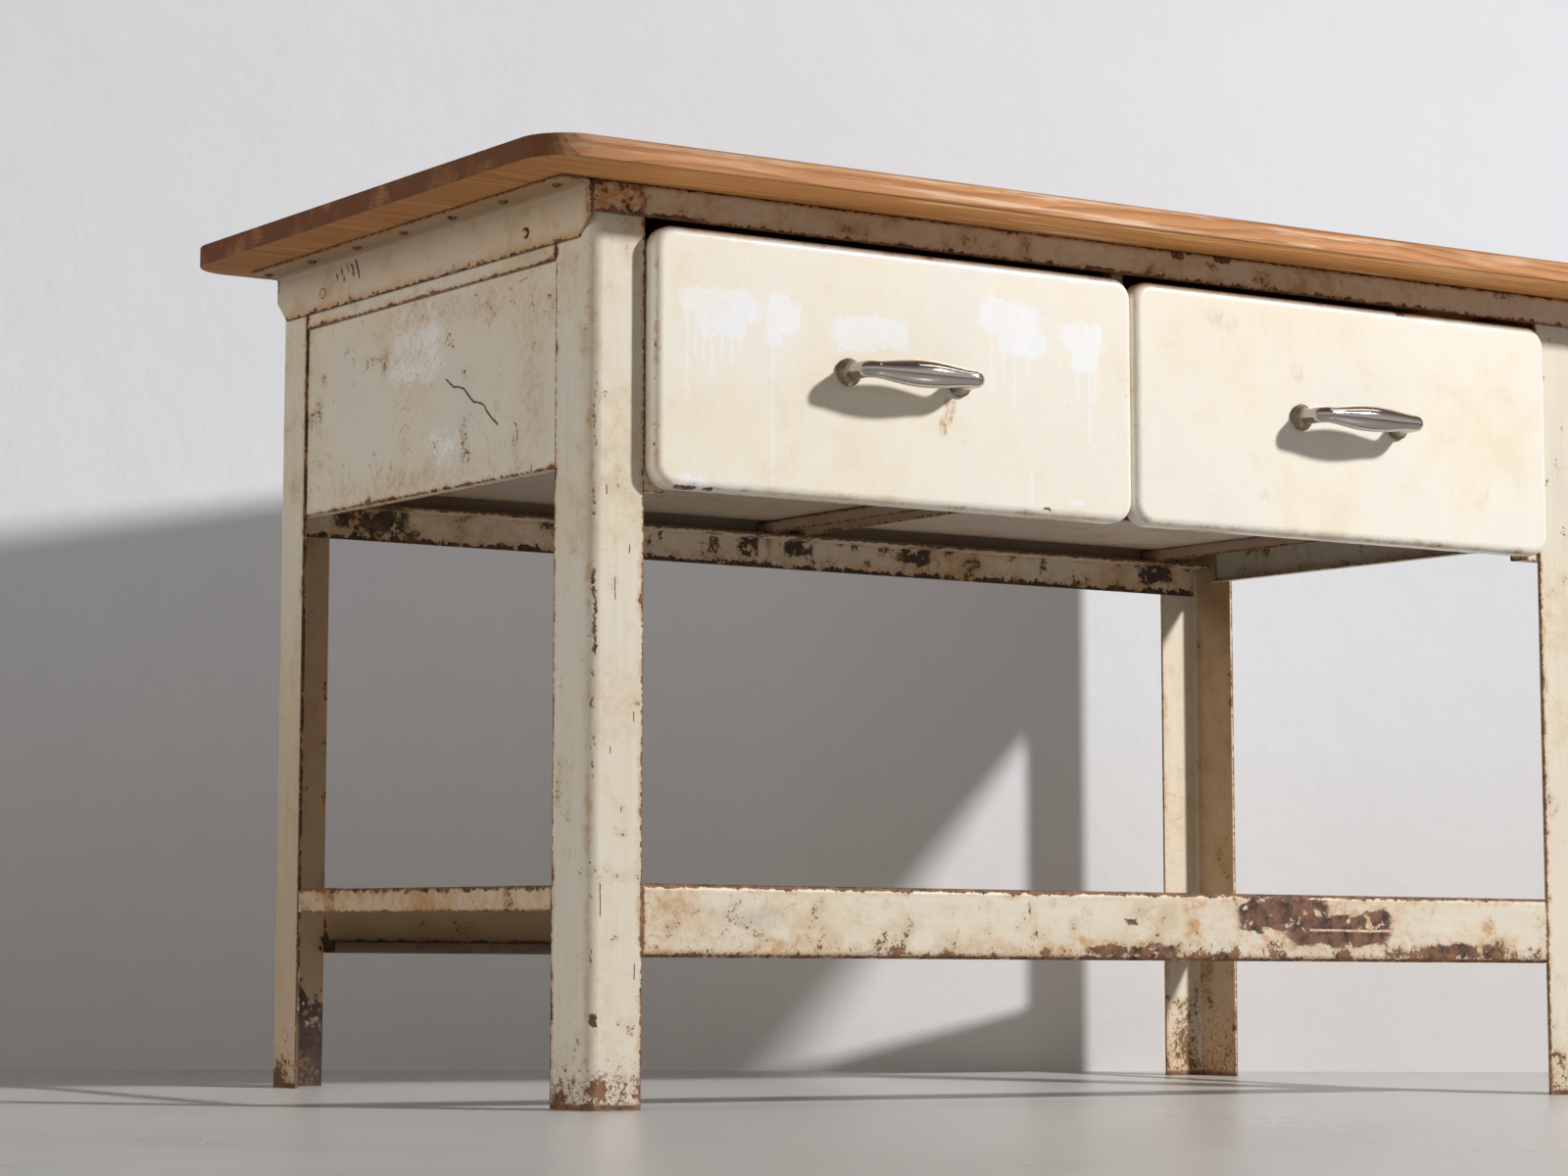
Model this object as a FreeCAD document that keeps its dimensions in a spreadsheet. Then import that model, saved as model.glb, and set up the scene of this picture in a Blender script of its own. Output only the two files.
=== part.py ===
import FreeCAD, Part
import os
from types import SimpleNamespace

import Sketcher

# Work table with a boarded wooden top on a painted sheet-steel frame and two pressed steel drawers.
# Millimetres, +Z up, front towards -Y; the origin is on the floor under the middle of the top.

SIZES = [
    ("table_height", 800.0, "floor to the face of the wooden top"),
    ("top_length", 1320.0, "wooden top, left to right"),
    ("top_depth", 682.0, "wooden top, front to back"),
    ("top_thickness", 20.0, "boards of the top"),
    ("top_corner_radius", 42.0, "rounded corners of the top in plan"),
    ("top_arris", 1.5, "eased edge around the top"),
    ("board_joint", 0.6, "bevel along each joint between boards"),
    ("board_one_width", 226.5, "front board"),
    ("board_two_width", 105.0, "second board"),
    ("board_three_width", 137.5, "third board"),
    ("board_five_width", 49.0, "back board; the fourth takes the rest of the depth"),
    ("front_overhang", 72.5, "top past the front faces of the legs"),
    ("back_overhang", 36.5, "top past the back faces of the legs"),
    ("end_overhang", 86.0, "top past the legs at each end"),
    ("leg_flange", 55.0, "width of each leg face"),
    ("leg_sheet", 3.0, "steel of the legs and end strips"),
    ("leg_corner_radius", 13.0, "rounded outer corner of a leg"),
    ("leg_hole", 4.0, "small hole in the back left leg"),
    ("leg_hole_inset", 35.0, "leg corner to that hole"),
    ("leg_hole_height", 78.0, "floor to that hole"),
    ("rail_height", 28.5, "face of the upper front and back rails"),
    ("rail_sheet", 4.0, "steel of the upper rails"),
    ("rail_ledge", 30.0, "ledge of an upper rail under the top"),
    ("rail_bend", 5.0, "outside bend of an upper rail"),
    ("apron_drop", 48.5, "face of a side apron"),
    ("apron_sheet", 3.0, "steel of the side aprons"),
    ("apron_flange", 30.5, "flange of a side apron under the top"),
    ("apron_bend", 7.0, "inside bend of a side apron"),
    ("apron_end_cut", 19.0, "cut lower corners of a side apron"),
    ("apron_end_round", 2.4, "rounded outer edge at the ends of an apron"),
    ("screw_offset", 16.5, "fixing screw line from the frame outside"),
    ("screw_start", 31.5, "front end of an apron to its first screw"),
    ("screw_stop", 9.5, "last screw to the back end of an apron"),
    ("screw_shank", 4.5, "fixing screw body"),
    ("screw_head", 9.5, "fixing screw head"),
    ("screw_head_height", 3.0, "fixing screw head"),
    ("screw_bite", 14.0, "fixing screw depth in the top"),
    ("strip_height", 44.0, "end strip behind an apron"),
    ("strip_show", 13.5, "end strip seen below an apron"),
    ("strip_gap", 1.0, "end strip to each leg edge"),
    ("rivet_start", 101.0, "front of the frame to the first rivet"),
    ("rivet_stop", 93.5, "last rivet to the back of the frame"),
    ("rivet_rise", 16.0, "rivet above the lower edge of an apron"),
    ("rivet_shank", 5.0, "rivet body"),
    ("rivet_head", 10.0, "rivet head"),
    ("rivet_head_height", 1.4, "rivet head"),
    ("panel_rise", 13.5, "lower edge of an end panel above the bottom of the lower rails"),
    ("panel_sheet", 1.5, "steel of the panels"),
    ("panel_lap", 22.0, "panel behind the legs and strips"),
    ("panel_return", 14.0, "turned-in lower edge of an end panel"),
    ("lower_rail_rise", 5.0, "lower rails above the bottom of the drawer fronts"),
    ("lower_rail_height", 33.0, "face of the lower rails"),
    ("lower_rail_sheet", 3.0, "steel of the lower rails"),
    ("lower_rail_ledge", 30.0, "ledge of a lower rail under the runners"),
    ("lower_rail_gap", 12.5, "front lower rail to each leg edge"),
    ("lug_length", 34.0, "lug under each end of the front lower rail"),
    ("lug_depth", 15.0, "lug, front to back"),
    ("lug_height", 8.0, "lug, top to bottom"),
    ("lug_rest", 9.0, "front lower rail resting on a lug"),
    ("runner_height", 13.0, "drawer runner"),
    ("runner_sheet", 2.0, "steel of the runners and middle post"),
    ("runner_lap", 18.0, "runner under the side of a drawer box"),
    ("runner_guide", 14.0, "upright guide of an end runner"),
    ("guide_gap", 2.0, "end runner guide to the drawer box"),
    ("post_width", 16.0, "middle post"),
    ("post_depth", 20.0, "middle post"),
    ("post_setback", 8.0, "middle post behind the leg faces"),
    ("stretcher_bottom", 126.0, "floor to the front and back stretchers"),
    ("stretcher_height", 61.5, "front and back stretchers"),
    ("stretcher_depth", 28.0, "front and back stretchers"),
    ("stretcher_lip", 10.0, "turned lips of the long stretchers"),
    ("stretcher_sheet", 2.0, "steel of the long stretchers"),
    ("stretcher_bend", 6.0, "outside bend of the long stretchers"),
    ("side_bar_bottom", 163.5, "floor to the side stretchers"),
    ("side_bar_height", 22.0, "side stretchers"),
    ("side_bar_sheet", 3.0, "steel of the side stretchers"),
    ("side_bar_bend", 4.0, "outside bend of the side stretchers"),
    ("drawer_side_gap", 1.5, "drawer front to a leg"),
    ("drawer_middle_gap", 2.0, "between the two drawer fronts"),
    ("drawer_front_drop", 35.0, "wooden top to the upper edge of the drawer fronts"),
    ("drawer_front_height", 225.0, "pressed drawer front"),
    ("drawer_front_proud", 15.5, "drawer front ahead of the leg faces"),
    ("drawer_front_corner", 21.0, "corner radius of a drawer front"),
    ("drawer_front_round", 8.0, "rounded edge of a drawer front"),
    ("drawer_sheet", 1.2, "steel of the drawers"),
    ("drawer_box_inset", 12.0, "drawer box inside the edge of its front"),
    ("drawer_box_drop", 13.7, "drawer box below the upper edge of its front"),
    ("drawer_box_lip", 8.0, "turned-in upper edge of a drawer box"),
    ("drawer_box_bend", 3.0, "lower bends of a drawer box"),
    ("drawer_back_gap", 18.0, "drawer box to the back panel"),
    ("slide_clearance", 0.3, "between drawer and frame"),
    ("handle_pitch", 120.0, "between the feet of a handle"),
    ("handle_reach", 31.0, "handle grip ahead of the drawer front"),
    ("handle_grip", 21.5, "handle, thickest in the middle"),
    ("handle_end", 11.5, "handle at its ends"),
    ("handle_foot", 25.0, "flared foot of a handle"),
    ("handle_foot_rim", 4.0, "half-round rim of a handle foot"),
    ("handle_screw", 5.0, "handle screw"),
    ("handle_screw_bite", 11.0, "handle screw depth in a foot"),
    ("handle_screw_head", 9.0, "handle screw head"),
    ("handle_screw_head_height", 3.0, "handle screw head"),
]

SCREWS = 7
RIVETS = 2
NECK_SHARE = 0.35


class Size:
    """A length with the sheet expression that gives it."""

    def __init__(self, text, value):
        self.text = text
        self.value = value

    def __add__(self, other):
        other = size(other)
        return Size(f"({self.text} + {other.text})", self.value + other.value)

    def __radd__(self, other):
        return size(other) + self

    def __sub__(self, other):
        other = size(other)
        return Size(f"({self.text} - {other.text})", self.value - other.value)

    def __rsub__(self, other):
        return size(other) - self

    def __mul__(self, other):
        other = size(other)
        return Size(f"({self.text} * {other.text})", self.value * other.value)

    def __rmul__(self, other):
        return size(other) * self

    def __truediv__(self, other):
        other = size(other)
        return Size(f"({self.text} / {other.text})", self.value / other.value)

    def __neg__(self):
        return size(0) - self


def size(value):
    return value if isinstance(value, Size) else Size(repr(float(value)), float(value))


doc = FreeCAD.newDocument("WorkTable")
sheet = doc.addObject("Spreadsheet::Sheet", "Sizes")
for row, (alias, number, meaning) in enumerate(SIZES, start=1):
    sheet.set(f"A{row}", meaning)
    sheet.set(f"B{row}", str(number))
    sheet.setAlias(f"B{row}", alias)
doc.recompute()
s = SimpleNamespace(**{alias: Size(f"Sizes.{alias}", number) for alias, number, _ in SIZES})

nodes = []


def bind(feature, prop, length):
    feature.setExpression(prop, size(length).text)


def body(label):
    made = doc.addObject("PartDesign::Body", label)
    made.Label = label
    nodes.append(made)
    return made


def place(made, x, y, z, turn=0.0):
    made.Placement = FreeCAD.Placement(FreeCAD.Vector(), FreeCAD.Rotation(FreeCAD.Vector(0, 0, 1), turn))
    for axis, length in (("x", x), ("y", y), ("z", z)):
        bind(made, f"Placement.Base.{axis}", length)


def sketch(made, plane, origin):
    """A sketch on one of the body's planes; origin is its place in x, y and z."""
    support = next(o for o in made.Origin.OriginFeatures if o.Role == plane)
    drawn = made.newObject("Sketcher::SketchObject", f"{made.Name}_sketch")
    drawn.AttachmentSupport = (support, [""])
    drawn.MapMode = "FlatFace"
    x, y, z = origin
    offsets = {"XY_Plane": (x, y, z), "XZ_Plane": (x, z, -size(y)), "YZ_Plane": (y, z, x)}[plane]
    for axis, length in zip("xyz", offsets):
        bind(drawn, f"AttachmentOffset.Base.{axis}", length)
    return drawn


def fix(drawn, kind, index, point, length):
    length = size(length)
    number = drawn.addConstraint(Sketcher.Constraint(kind, index, point, length.value))
    drawn.setExpression(f"Constraints[{number}]", length.text)


def sign(number):
    return (number > 1e-9) - (number < -1e-9)


def rounded(corners):
    """Square corners (x, y, radius or None) to a path of (x, y, arc to the next point or None)."""
    path = []
    for i, (x, y, radius) in enumerate(corners):
        x, y = size(x), size(y)
        if radius is None:
            path.append((x, y, None))
            continue
        before, after = corners[i - 1], corners[(i + 1) % len(corners)]
        ix, iy = sign(x.value - size(before[0]).value), sign(y.value - size(before[1]).value)
        ox, oy = sign(size(after[0]).value - x.value), sign(size(after[1]).value - y.value)
        radius = size(radius)
        path.append((x - ix * radius, y - iy * radius, (radius, sign(ix * oy - iy * ox))))
        path.append((x + ox * radius, y + oy * radius, None))
    return path


def draw(drawn, path):
    """A closed outline of lines and arcs; an arc is (radius, 1 for a left turn or -1 for a right turn)."""
    ends = []
    for i, (x, y, arc) in enumerate(path):
        start = FreeCAD.Vector(size(x).value, size(y).value, 0)
        after = path[(i + 1) % len(path)]
        stop = FreeCAD.Vector(size(after[0]).value, size(after[1]).value, 0)
        if arc is None:
            index = drawn.addGeometry(Part.LineSegment(start, stop))
            ends.append((index, 1, 2))
            continue
        radius, turn = size(arc[0]), arc[1]
        chord = stop - start
        rise = max(radius.value ** 2 - chord.Length ** 2 / 4, 0) ** 0.5
        across = FreeCAD.Vector(-chord.y, chord.x, 0) * (turn / chord.Length)
        middle = start + chord * 0.5 + across * rise
        first, last = (start, stop) if turn > 0 else (stop, start)
        angles = [FreeCAD.Vector(1, 0, 0).getAngle(p - middle) * (1 if p.y >= middle.y else -1)
                  for p in (first, last)]
        circle = Part.Circle(middle, FreeCAD.Vector(0, 0, 1), radius.value)
        index = drawn.addGeometry(Part.ArcOfCircle(circle, *angles))
        ends.append((index, 1, 2) if turn > 0 else (index, 2, 1))
    for i, (index, start, stop) in enumerate(ends):
        following = ends[(i + 1) % len(ends)]
        drawn.addConstraint(Sketcher.Constraint("Coincident", index, stop, following[0], following[1]))
    for (x, y, arc), (index, start, stop) in zip(path, ends):
        fix(drawn, "DistanceX", index, start, x)
        fix(drawn, "DistanceY", index, start, y)
        if arc is not None:
            number = drawn.addConstraint(Sketcher.Constraint("Radius", index, size(arc[0]).value))
            drawn.setExpression(f"Constraints[{number}]", size(arc[0]).text)


def circles(drawn, centres, diameter):
    diameter = size(diameter)
    for x, y in centres:
        centre = FreeCAD.Vector(size(x).value, size(y).value, 0)
        index = drawn.addGeometry(Part.Circle(centre, FreeCAD.Vector(0, 0, 1), diameter.value / 2))
        fix(drawn, "DistanceX", index, 3, x)
        fix(drawn, "DistanceY", index, 3, y)
        number = drawn.addConstraint(Sketcher.Constraint("Diameter", index, diameter.value))
        drawn.setExpression(f"Constraints[{number}]", diameter.text)


def pad(made, plane, path, low, high):
    """Extrude an outline between two levels along the normal of its plane."""
    low, high = size(low), size(high)
    level = {"XY_Plane": (0, 0, low), "XZ_Plane": (0, high, 0), "YZ_Plane": (low, 0, 0)}[plane]
    drawn = sketch(made, plane, level)
    draw(drawn, path)
    feature = made.newObject("PartDesign::Pad", f"{made.Name}_pad")
    feature.Profile = drawn
    bind(feature, "Length", high - low)
    doc.recompute()
    return feature


def through_holes(made, plane, centres, diameter):
    """Round holes through everything along the normal of a plane."""
    drawn = sketch(made, plane, (0, 0, 0))
    circles(drawn, centres, diameter)
    feature = made.newObject("PartDesign::Pocket", f"{made.Name}_holes")
    feature.Profile = drawn
    feature.Type = "ThroughAll"
    feature.SideType = "Symmetric"
    doc.recompute()


def blind_holes(made, level, centres, diameter, depth):
    """Round holes upwards from a level."""
    drawn = sketch(made, "XY_Plane", (0, 0, level))
    circles(drawn, centres, diameter)
    feature = made.newObject("PartDesign::Pocket", f"{made.Name}_holes")
    feature.Profile = drawn
    feature.Reversed = True
    bind(feature, "Length", depth)
    doc.recompute()


def dress(made, kind, prop, length, wanted):
    """Fillet or chamfer the edges of the latest feature whose middle point is wanted."""
    base = made.Tip
    names = [f"Edge{i}" for i, edge in enumerate(base.Shape.Edges, start=1)
             if wanted(edge.valueAt((edge.FirstParameter + edge.LastParameter) / 2))]
    feature = made.newObject(f"PartDesign::{kind}", f"{made.Name}_{kind.lower()}")
    feature.Base = (base, names)
    bind(feature, prop, length)
    doc.recompute()
    return feature


def turned(made, origin, path, axis):
    """Revolve an outline drawn in a level plane about an axis of its sketch."""
    drawn = sketch(made, "XY_Plane", origin)
    draw(drawn, path)
    feature = made.newObject("PartDesign::Revolution", f"{made.Name}_turned")
    feature.Profile = drawn
    feature.ReferenceAxis = (drawn, [axis])
    feature.Angle = 360.0
    doc.recompute()
    return feature


def row(made, feature, axis, pitch, count):
    """Repeat a feature along an axis of the body as separate solids."""
    direction = next(o for o in made.Origin.OriginFeatures if o.Role == axis)
    pattern = made.newObject("PartDesign::LinearPattern", f"{made.Name}_row")
    pattern.Originals = [feature]
    pattern.Direction = (direction, [""])
    pattern.Occurrences = count
    bind(pattern, "Length", pitch * (count - 1))
    made.Tip = pattern
    doc.recompute()


def near(value, target):
    return abs(value - size(target).value) < 0.01


def box(x0, x1, y0, y1):
    return [(x0, y0, None), (x1, y0, None), (x1, y1, None), (x0, y1, None)]


# Shared levels and planes.
under = s.table_height - s.top_thickness
front = s.front_overhang - s.top_depth / 2
back = s.top_depth / 2 - s.back_overhang
end = s.top_length / 2 - s.end_overhang
leg_edge = end - s.leg_flange
ring_front = front - s.rail_sheet
ring_back = back + s.rail_sheet
panel_back_face = back - s.leg_sheet - s.panel_sheet
drawer_top = under - s.drawer_front_drop
drawer_low = drawer_top - s.drawer_front_height
lower_rail_low = drawer_low + s.lower_rail_rise
lower_rail_top = lower_rail_low + s.lower_rail_height
panel_low = lower_rail_low + s.panel_rise
runner_top = lower_rail_top + s.runner_height
apron_bottom = under - s.apron_drop
strip_bottom = apron_bottom - s.strip_show
rivet_level = apron_bottom + s.rivet_rise
screw_line = end + s.screw_offset
first_screw = ring_front + s.screw_start
screw_pitch = (ring_back - s.screw_stop - first_screw) / (SCREWS - 1)
first_rivet = front + s.rivet_start
rivet_pitch = (back - s.rivet_stop - first_rivet) / (RIVETS - 1)
drawer_outer = leg_edge - s.drawer_side_gap
drawer_inner = s.drawer_middle_gap / 2
drawer_face = front - s.drawer_front_proud
drawer_bottom = runner_top + s.slide_clearance
drawer_box_top = drawer_top - s.drawer_box_drop
box_outer = drawer_outer - s.drawer_box_inset
box_inner = drawer_inner + s.drawer_box_inset
handle_level = drawer_low + s.drawer_front_height / 2


def leg(label, x, y, turn, drilled=False):
    """Angle leg with a rounded outer corner, drawn from that corner."""
    made = body(label)
    wide, thick = s.leg_flange, s.leg_sheet
    pad(made, "XY_Plane", rounded([
        (0, 0, s.leg_corner_radius), (wide, 0, None), (wide, thick, None),
        (thick, thick, s.leg_corner_radius - thick), (thick, wide, None), (0, wide, None)]),
        0, under - s.rail_sheet)
    if drilled:
        through_holes(made, "YZ_Plane", [(s.leg_hole_inset, s.leg_hole_height)], s.leg_hole)
    place(made, x, y, 0, turn)


def upper_rail(label, face, inward):
    """Folded rail across the leg tops, with a ledge under the wooden top."""
    made = body(label)
    outer, ledge = face - inward * s.rail_sheet, face + inward * s.rail_ledge
    low = under - s.rail_height
    pad(made, "YZ_Plane", rounded([
        (outer, low, None), (face, low, None), (face, under - s.rail_sheet, None),
        (ledge, under - s.rail_sheet, None), (ledge, under, None), (outer, under, s.rail_bend)]),
        -end, end)


def apron(label, side):
    """Folded side apron: a web on the legs and a drilled flange turned out under the top."""
    made = body(label)
    face = side * end
    web, edge = face + side * s.apron_sheet, face + side * s.apron_flange
    low = under - s.apron_sheet
    pad(made, "XZ_Plane", rounded([
        (face, apron_bottom, None), (face, under, s.apron_bend + s.apron_sheet), (edge, under, None),
        (edge, low, None), (web, low, s.apron_bend), (web, apron_bottom, None)]),
        ring_front, ring_back)
    dress(made, "Chamfer", "Size", s.apron_end_cut, lambda p: near(p.z, apron_bottom)
          and (near(p.y, ring_front) or near(p.y, ring_back)))
    run = s.apron_end_cut
    dress(made, "Fillet", "Radius", s.apron_end_round, lambda p: near(p.x, web)
          and not near(p.z, apron_bottom)
          and (p.y < (ring_front + run).value or p.y > (ring_back - run).value))
    through_holes(made, "XY_Plane",
                  [(side * screw_line, first_screw + i * screw_pitch) for i in range(SCREWS)], s.screw_shank)
    through_holes(made, "YZ_Plane",
                  [(first_rivet + i * rivet_pitch, rivet_level) for i in range(RIVETS)], s.rivet_shank)


def end_strip(label, side):
    """Flat strip between the legs, riveted behind an apron."""
    made = body(label)
    ends = sorted((side * end, side * (end - s.leg_sheet)), key=lambda length: length.value)
    run = s.leg_flange + s.strip_gap
    pad(made, "YZ_Plane", rounded(box(front + run, back - run, strip_bottom, strip_bottom + s.strip_height)),
        *ends)
    through_holes(made, "YZ_Plane",
                  [(first_rivet + i * rivet_pitch, rivet_level) for i in range(RIVETS)], s.rivet_shank)


def end_panel(label, side):
    """Sheet panel behind the legs and the end strip, its lower edge turned in."""
    made = body(label)
    outer = side * (end - s.leg_sheet)
    inner, tip = outer - side * s.panel_sheet, outer - side * s.panel_return
    low, high = panel_low, strip_bottom + s.panel_lap
    run = s.leg_flange - s.panel_lap
    pad(made, "XZ_Plane", rounded([
        (outer, low, s.panel_sheet * 2), (outer, high, None), (inner, high, None),
        (inner, low + s.panel_sheet, s.panel_sheet), (tip, low + s.panel_sheet, None), (tip, low, None)]),
        front + run, back - run)


def lower_rail(label, face, inward, half):
    """Angle rail that carries the runner ends on its ledge."""
    made = body(label)
    web, ledge = face + inward * s.lower_rail_sheet, face + inward * s.lower_rail_ledge
    low, step = lower_rail_low, lower_rail_top - s.lower_rail_sheet
    pad(made, "YZ_Plane", rounded([
        (face, low, None), (web, low, None), (web, step, None), (ledge, step, None),
        (ledge, lower_rail_top, None), (face, lower_rail_top, s.lower_rail_sheet)]), -half, half)


def lug(label, side):
    """Small block behind a front leg that the front lower rail rests on."""
    made = body(label)
    tip = leg_edge - s.lower_rail_gap - s.lug_rest
    ends = sorted((side * tip, side * (tip + s.lug_length)), key=lambda length: length.value)
    face = front + s.leg_sheet
    pad(made, "YZ_Plane", rounded(box(face, face + s.lug_depth, lower_rail_low - s.lug_height,
                                      lower_rail_low)), *ends)


def end_runner(label, side):
    """Folded runner under the outer side of a drawer, with an upright guide."""
    made = body(label)
    thin = s.runner_sheet
    inner = side * (box_outer - s.runner_lap)
    guide = side * (box_outer + s.guide_gap)
    web, back_of_guide = inner + side * thin, guide + side * thin
    step = runner_top - thin
    pad(made, "XZ_Plane", rounded([
        (inner, lower_rail_top, None), (web, lower_rail_top, None), (web, step, None),
        (back_of_guide, step, None), (back_of_guide, runner_top + s.runner_guide, None),
        (guide, runner_top + s.runner_guide, None), (guide, runner_top, None), (inner, runner_top, thin)]),
        front + s.leg_sheet, panel_back_face)


def middle_runner(label):
    """Channel that carries the inner sides of both drawers."""
    made = body(label)
    thin, half = s.runner_sheet, box_inner + s.runner_lap / 2
    step = runner_top - thin
    pad(made, "XZ_Plane", rounded([
        (-half, lower_rail_top, None), (thin - half, lower_rail_top, None), (thin - half, step, None),
        (half - thin, step, None), (half - thin, lower_rail_top, None), (half, lower_rail_top, None),
        (half, runner_top, thin), (-half, runner_top, thin)]),
        front + s.leg_sheet, panel_back_face)


def middle_post(label):
    """Folded post between the drawers, from the middle runner to the front rail ledge."""
    made = body(label)
    half, thin = s.post_width / 2, s.runner_sheet
    face = front + s.post_setback
    pad(made, "XY_Plane", rounded([
        (-half, face, thin), (half, face, thin), (half, face + s.post_depth, None),
        (half - thin, face + s.post_depth, None), (half - thin, face + thin, None),
        (thin - half, face + thin, None), (thin - half, face + s.post_depth, None),
        (-half, face + s.post_depth, None)]), runner_top, under - s.rail_sheet)


def back_panel(label):
    """Sheet panel that closes the back between the lower rail and the upper rail ledge."""
    made = body(label)
    half = leg_edge + s.panel_lap
    pad(made, "XZ_Plane", rounded(box(-half, half, lower_rail_top, under - s.rail_sheet)),
        panel_back_face, back - s.leg_sheet)


def long_stretcher(label, face, inward):
    """Lipped channel between two legs."""
    made = body(label)
    thin, bend = s.stretcher_sheet, s.stretcher_bend
    low, high = s.stretcher_bottom, s.stretcher_bottom + s.stretcher_height
    web, deep = face + inward * thin, face + inward * s.stretcher_depth
    lip = deep - inward * thin
    pad(made, "YZ_Plane", rounded([
        (face, low, bend), (deep, low, bend), (deep, low + s.stretcher_lip, None),
        (lip, low + s.stretcher_lip, None), (lip, low + thin, bend - thin), (web, low + thin, bend - thin),
        (web, high - thin, bend - thin), (lip, high - thin, bend - thin), (lip, high - s.stretcher_lip, None),
        (deep, high - s.stretcher_lip, None), (deep, high, bend), (face, high, bend)]), -leg_edge, leg_edge)


def side_bar(label, side):
    """Angle bar between the legs of one end."""
    made = body(label)
    face, thin = side * end, s.side_bar_sheet
    web, ledge = face - side * thin, face - side * s.side_bar_height
    low, high = s.side_bar_bottom, s.side_bar_bottom + s.side_bar_height
    pad(made, "XZ_Plane", rounded([
        (face, low, None), (face, high, s.side_bar_bend), (ledge, high, None),
        (ledge, high - thin, None), (web, high - thin, None), (web, low, None)]),
        front + s.leg_flange, back - s.leg_flange)


def board(label, low, high, first=False, last=False):
    """One board of the top, drilled from below for the fixing screws that reach it."""
    made = body(label)
    half = s.top_length / 2
    front_round = s.top_corner_radius if first else None
    back_round = s.top_corner_radius if last else None
    pad(made, "XY_Plane", rounded([
        (-half, low, front_round), (half, low, front_round), (half, high, back_round),
        (-half, high, back_round)]), under, s.table_height)
    level = (size(under), s.table_height)
    joints = [y for y, outer in ((low, first), (high, last)) if not outer]
    dress(made, "Chamfer", "Size", s.board_joint, lambda p: abs(p.x) < 1
          and any(near(p.y, y) for y in joints) and any(near(p.z, z) for z in level))
    dress(made, "Fillet", "Radius", s.top_arris, lambda p: any(near(p.z, z) for z in level)
          and (abs(p.x) > half.value - s.top_corner_radius.value or (first and near(p.y, low))
               or (last and near(p.y, high))))
    reach = s.screw_shank.value / 2
    lines = [first_screw + i * screw_pitch for i in range(SCREWS)]
    held = [y for y in lines if size(low).value - reach < y.value < size(high).value + reach]
    if held:
        blind_holes(made, under, [(side * screw_line, y) for y in held for side in (-1, 1)],
                    s.screw_shank, s.screw_bite)


def top_screws(label, side):
    """Round-head screws through one apron flange into the top."""
    made = body(label)
    made.AllowCompound = True
    shank, head = s.screw_shank / 2, s.screw_head / 2
    seat = under - s.apron_sheet
    drawn = sketch(made, "XZ_Plane", (side * screw_line, first_screw, seat))
    tall = s.screw_head_height
    dome = (head * head + tall * tall) / (2 * tall)
    draw(drawn, [(0, -tall, (dome, 1)), (head, 0, None), (shank, 0, None),
                 (shank, s.apron_sheet + s.screw_bite, None), (0, s.apron_sheet + s.screw_bite, None)])
    feature = made.newObject("PartDesign::Revolution", f"{label}_turned")
    feature.Profile = drawn
    feature.ReferenceAxis = (drawn, ["V_Axis"])
    feature.Angle = 360.0
    doc.recompute()
    row(made, feature, "Y_Axis", screw_pitch, SCREWS)


def rivets(label, side):
    """Flat rivets that hold an end strip behind its apron."""
    made = body(label)
    made.AllowCompound = True
    shank, head = s.rivet_shank / 2, s.rivet_head / 2
    web = end + s.apron_sheet
    drawn = sketch(made, "XZ_Plane", (0, first_rivet, rivet_level))
    tip, inner = web + s.rivet_head_height, end - s.leg_sheet
    draw(drawn, [(side * x, y, None) for x, y in (
        (inner, size(0)), (tip, size(0)), (tip, head), (web, head), (web, shank), (inner, shank))])
    feature = made.newObject("PartDesign::Revolution", f"{label}_turned")
    feature.Profile = drawn
    feature.ReferenceAxis = (drawn, ["H_Axis"])
    feature.Angle = 360.0
    doc.recompute()
    row(made, feature, "Y_Axis", rivet_pitch, RIVETS)


def drawer_front(label, side):
    """Pressed front: a shallow pan with rounded corners and a rounded edge, drilled for its handle."""
    made = body(label)
    low, high = drawer_low, drawer_top
    corner = s.drawer_front_corner
    rim = front + s.leg_sheet - s.slide_clearance
    pad(made, "XZ_Plane", rounded([
        (side * drawer_inner, low, corner), (side * drawer_outer, low, corner),
        (side * drawer_outer, high, corner), (side * drawer_inner, high, corner)]), drawer_face, rim)
    dress(made, "Fillet", "Radius", s.drawer_front_round, lambda p: near(p.y, drawer_face))
    base = made.Tip
    rear = next(f"Face{i}" for i, face in enumerate(base.Shape.Faces, start=1)
                if near(face.CenterOfMass.y, rim))
    shell = made.newObject("PartDesign::Thickness", f"{label}_shell")
    shell.Base = (base, [rear])
    shell.Reversed = True
    bind(shell, "Value", s.drawer_sheet)
    doc.recompute()
    middle = side * (drawer_outer + drawer_inner) / 2
    through_holes(made, "XZ_Plane", [(middle + turn * s.handle_pitch / 2, handle_level) for turn in (-1, 1)],
                  s.handle_screw)


def drawer_tray(label, side):
    """Folded drawer box: bottom and two sides with turned-in upper edges."""
    made = body(label)
    thin, lip, bend = s.drawer_sheet, s.drawer_box_lip, s.drawer_box_bend
    low, high = drawer_bottom, drawer_box_top
    a, b = side * box_inner, side * box_outer
    pad(made, "XZ_Plane", rounded([
        (a, low, bend), (b, low, bend), (b, high, None), (b - side * lip, high, None),
        (b - side * lip, high - thin, None), (b - side * thin, high - thin, None),
        (b - side * thin, low + thin, bend - thin), (a + side * thin, low + thin, bend - thin),
        (a + side * thin, high - thin, None), (a + side * lip, high - thin, None),
        (a + side * lip, high, None), (a, high, None)]),
        drawer_face + s.drawer_sheet, panel_back_face - s.drawer_back_gap)


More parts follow.
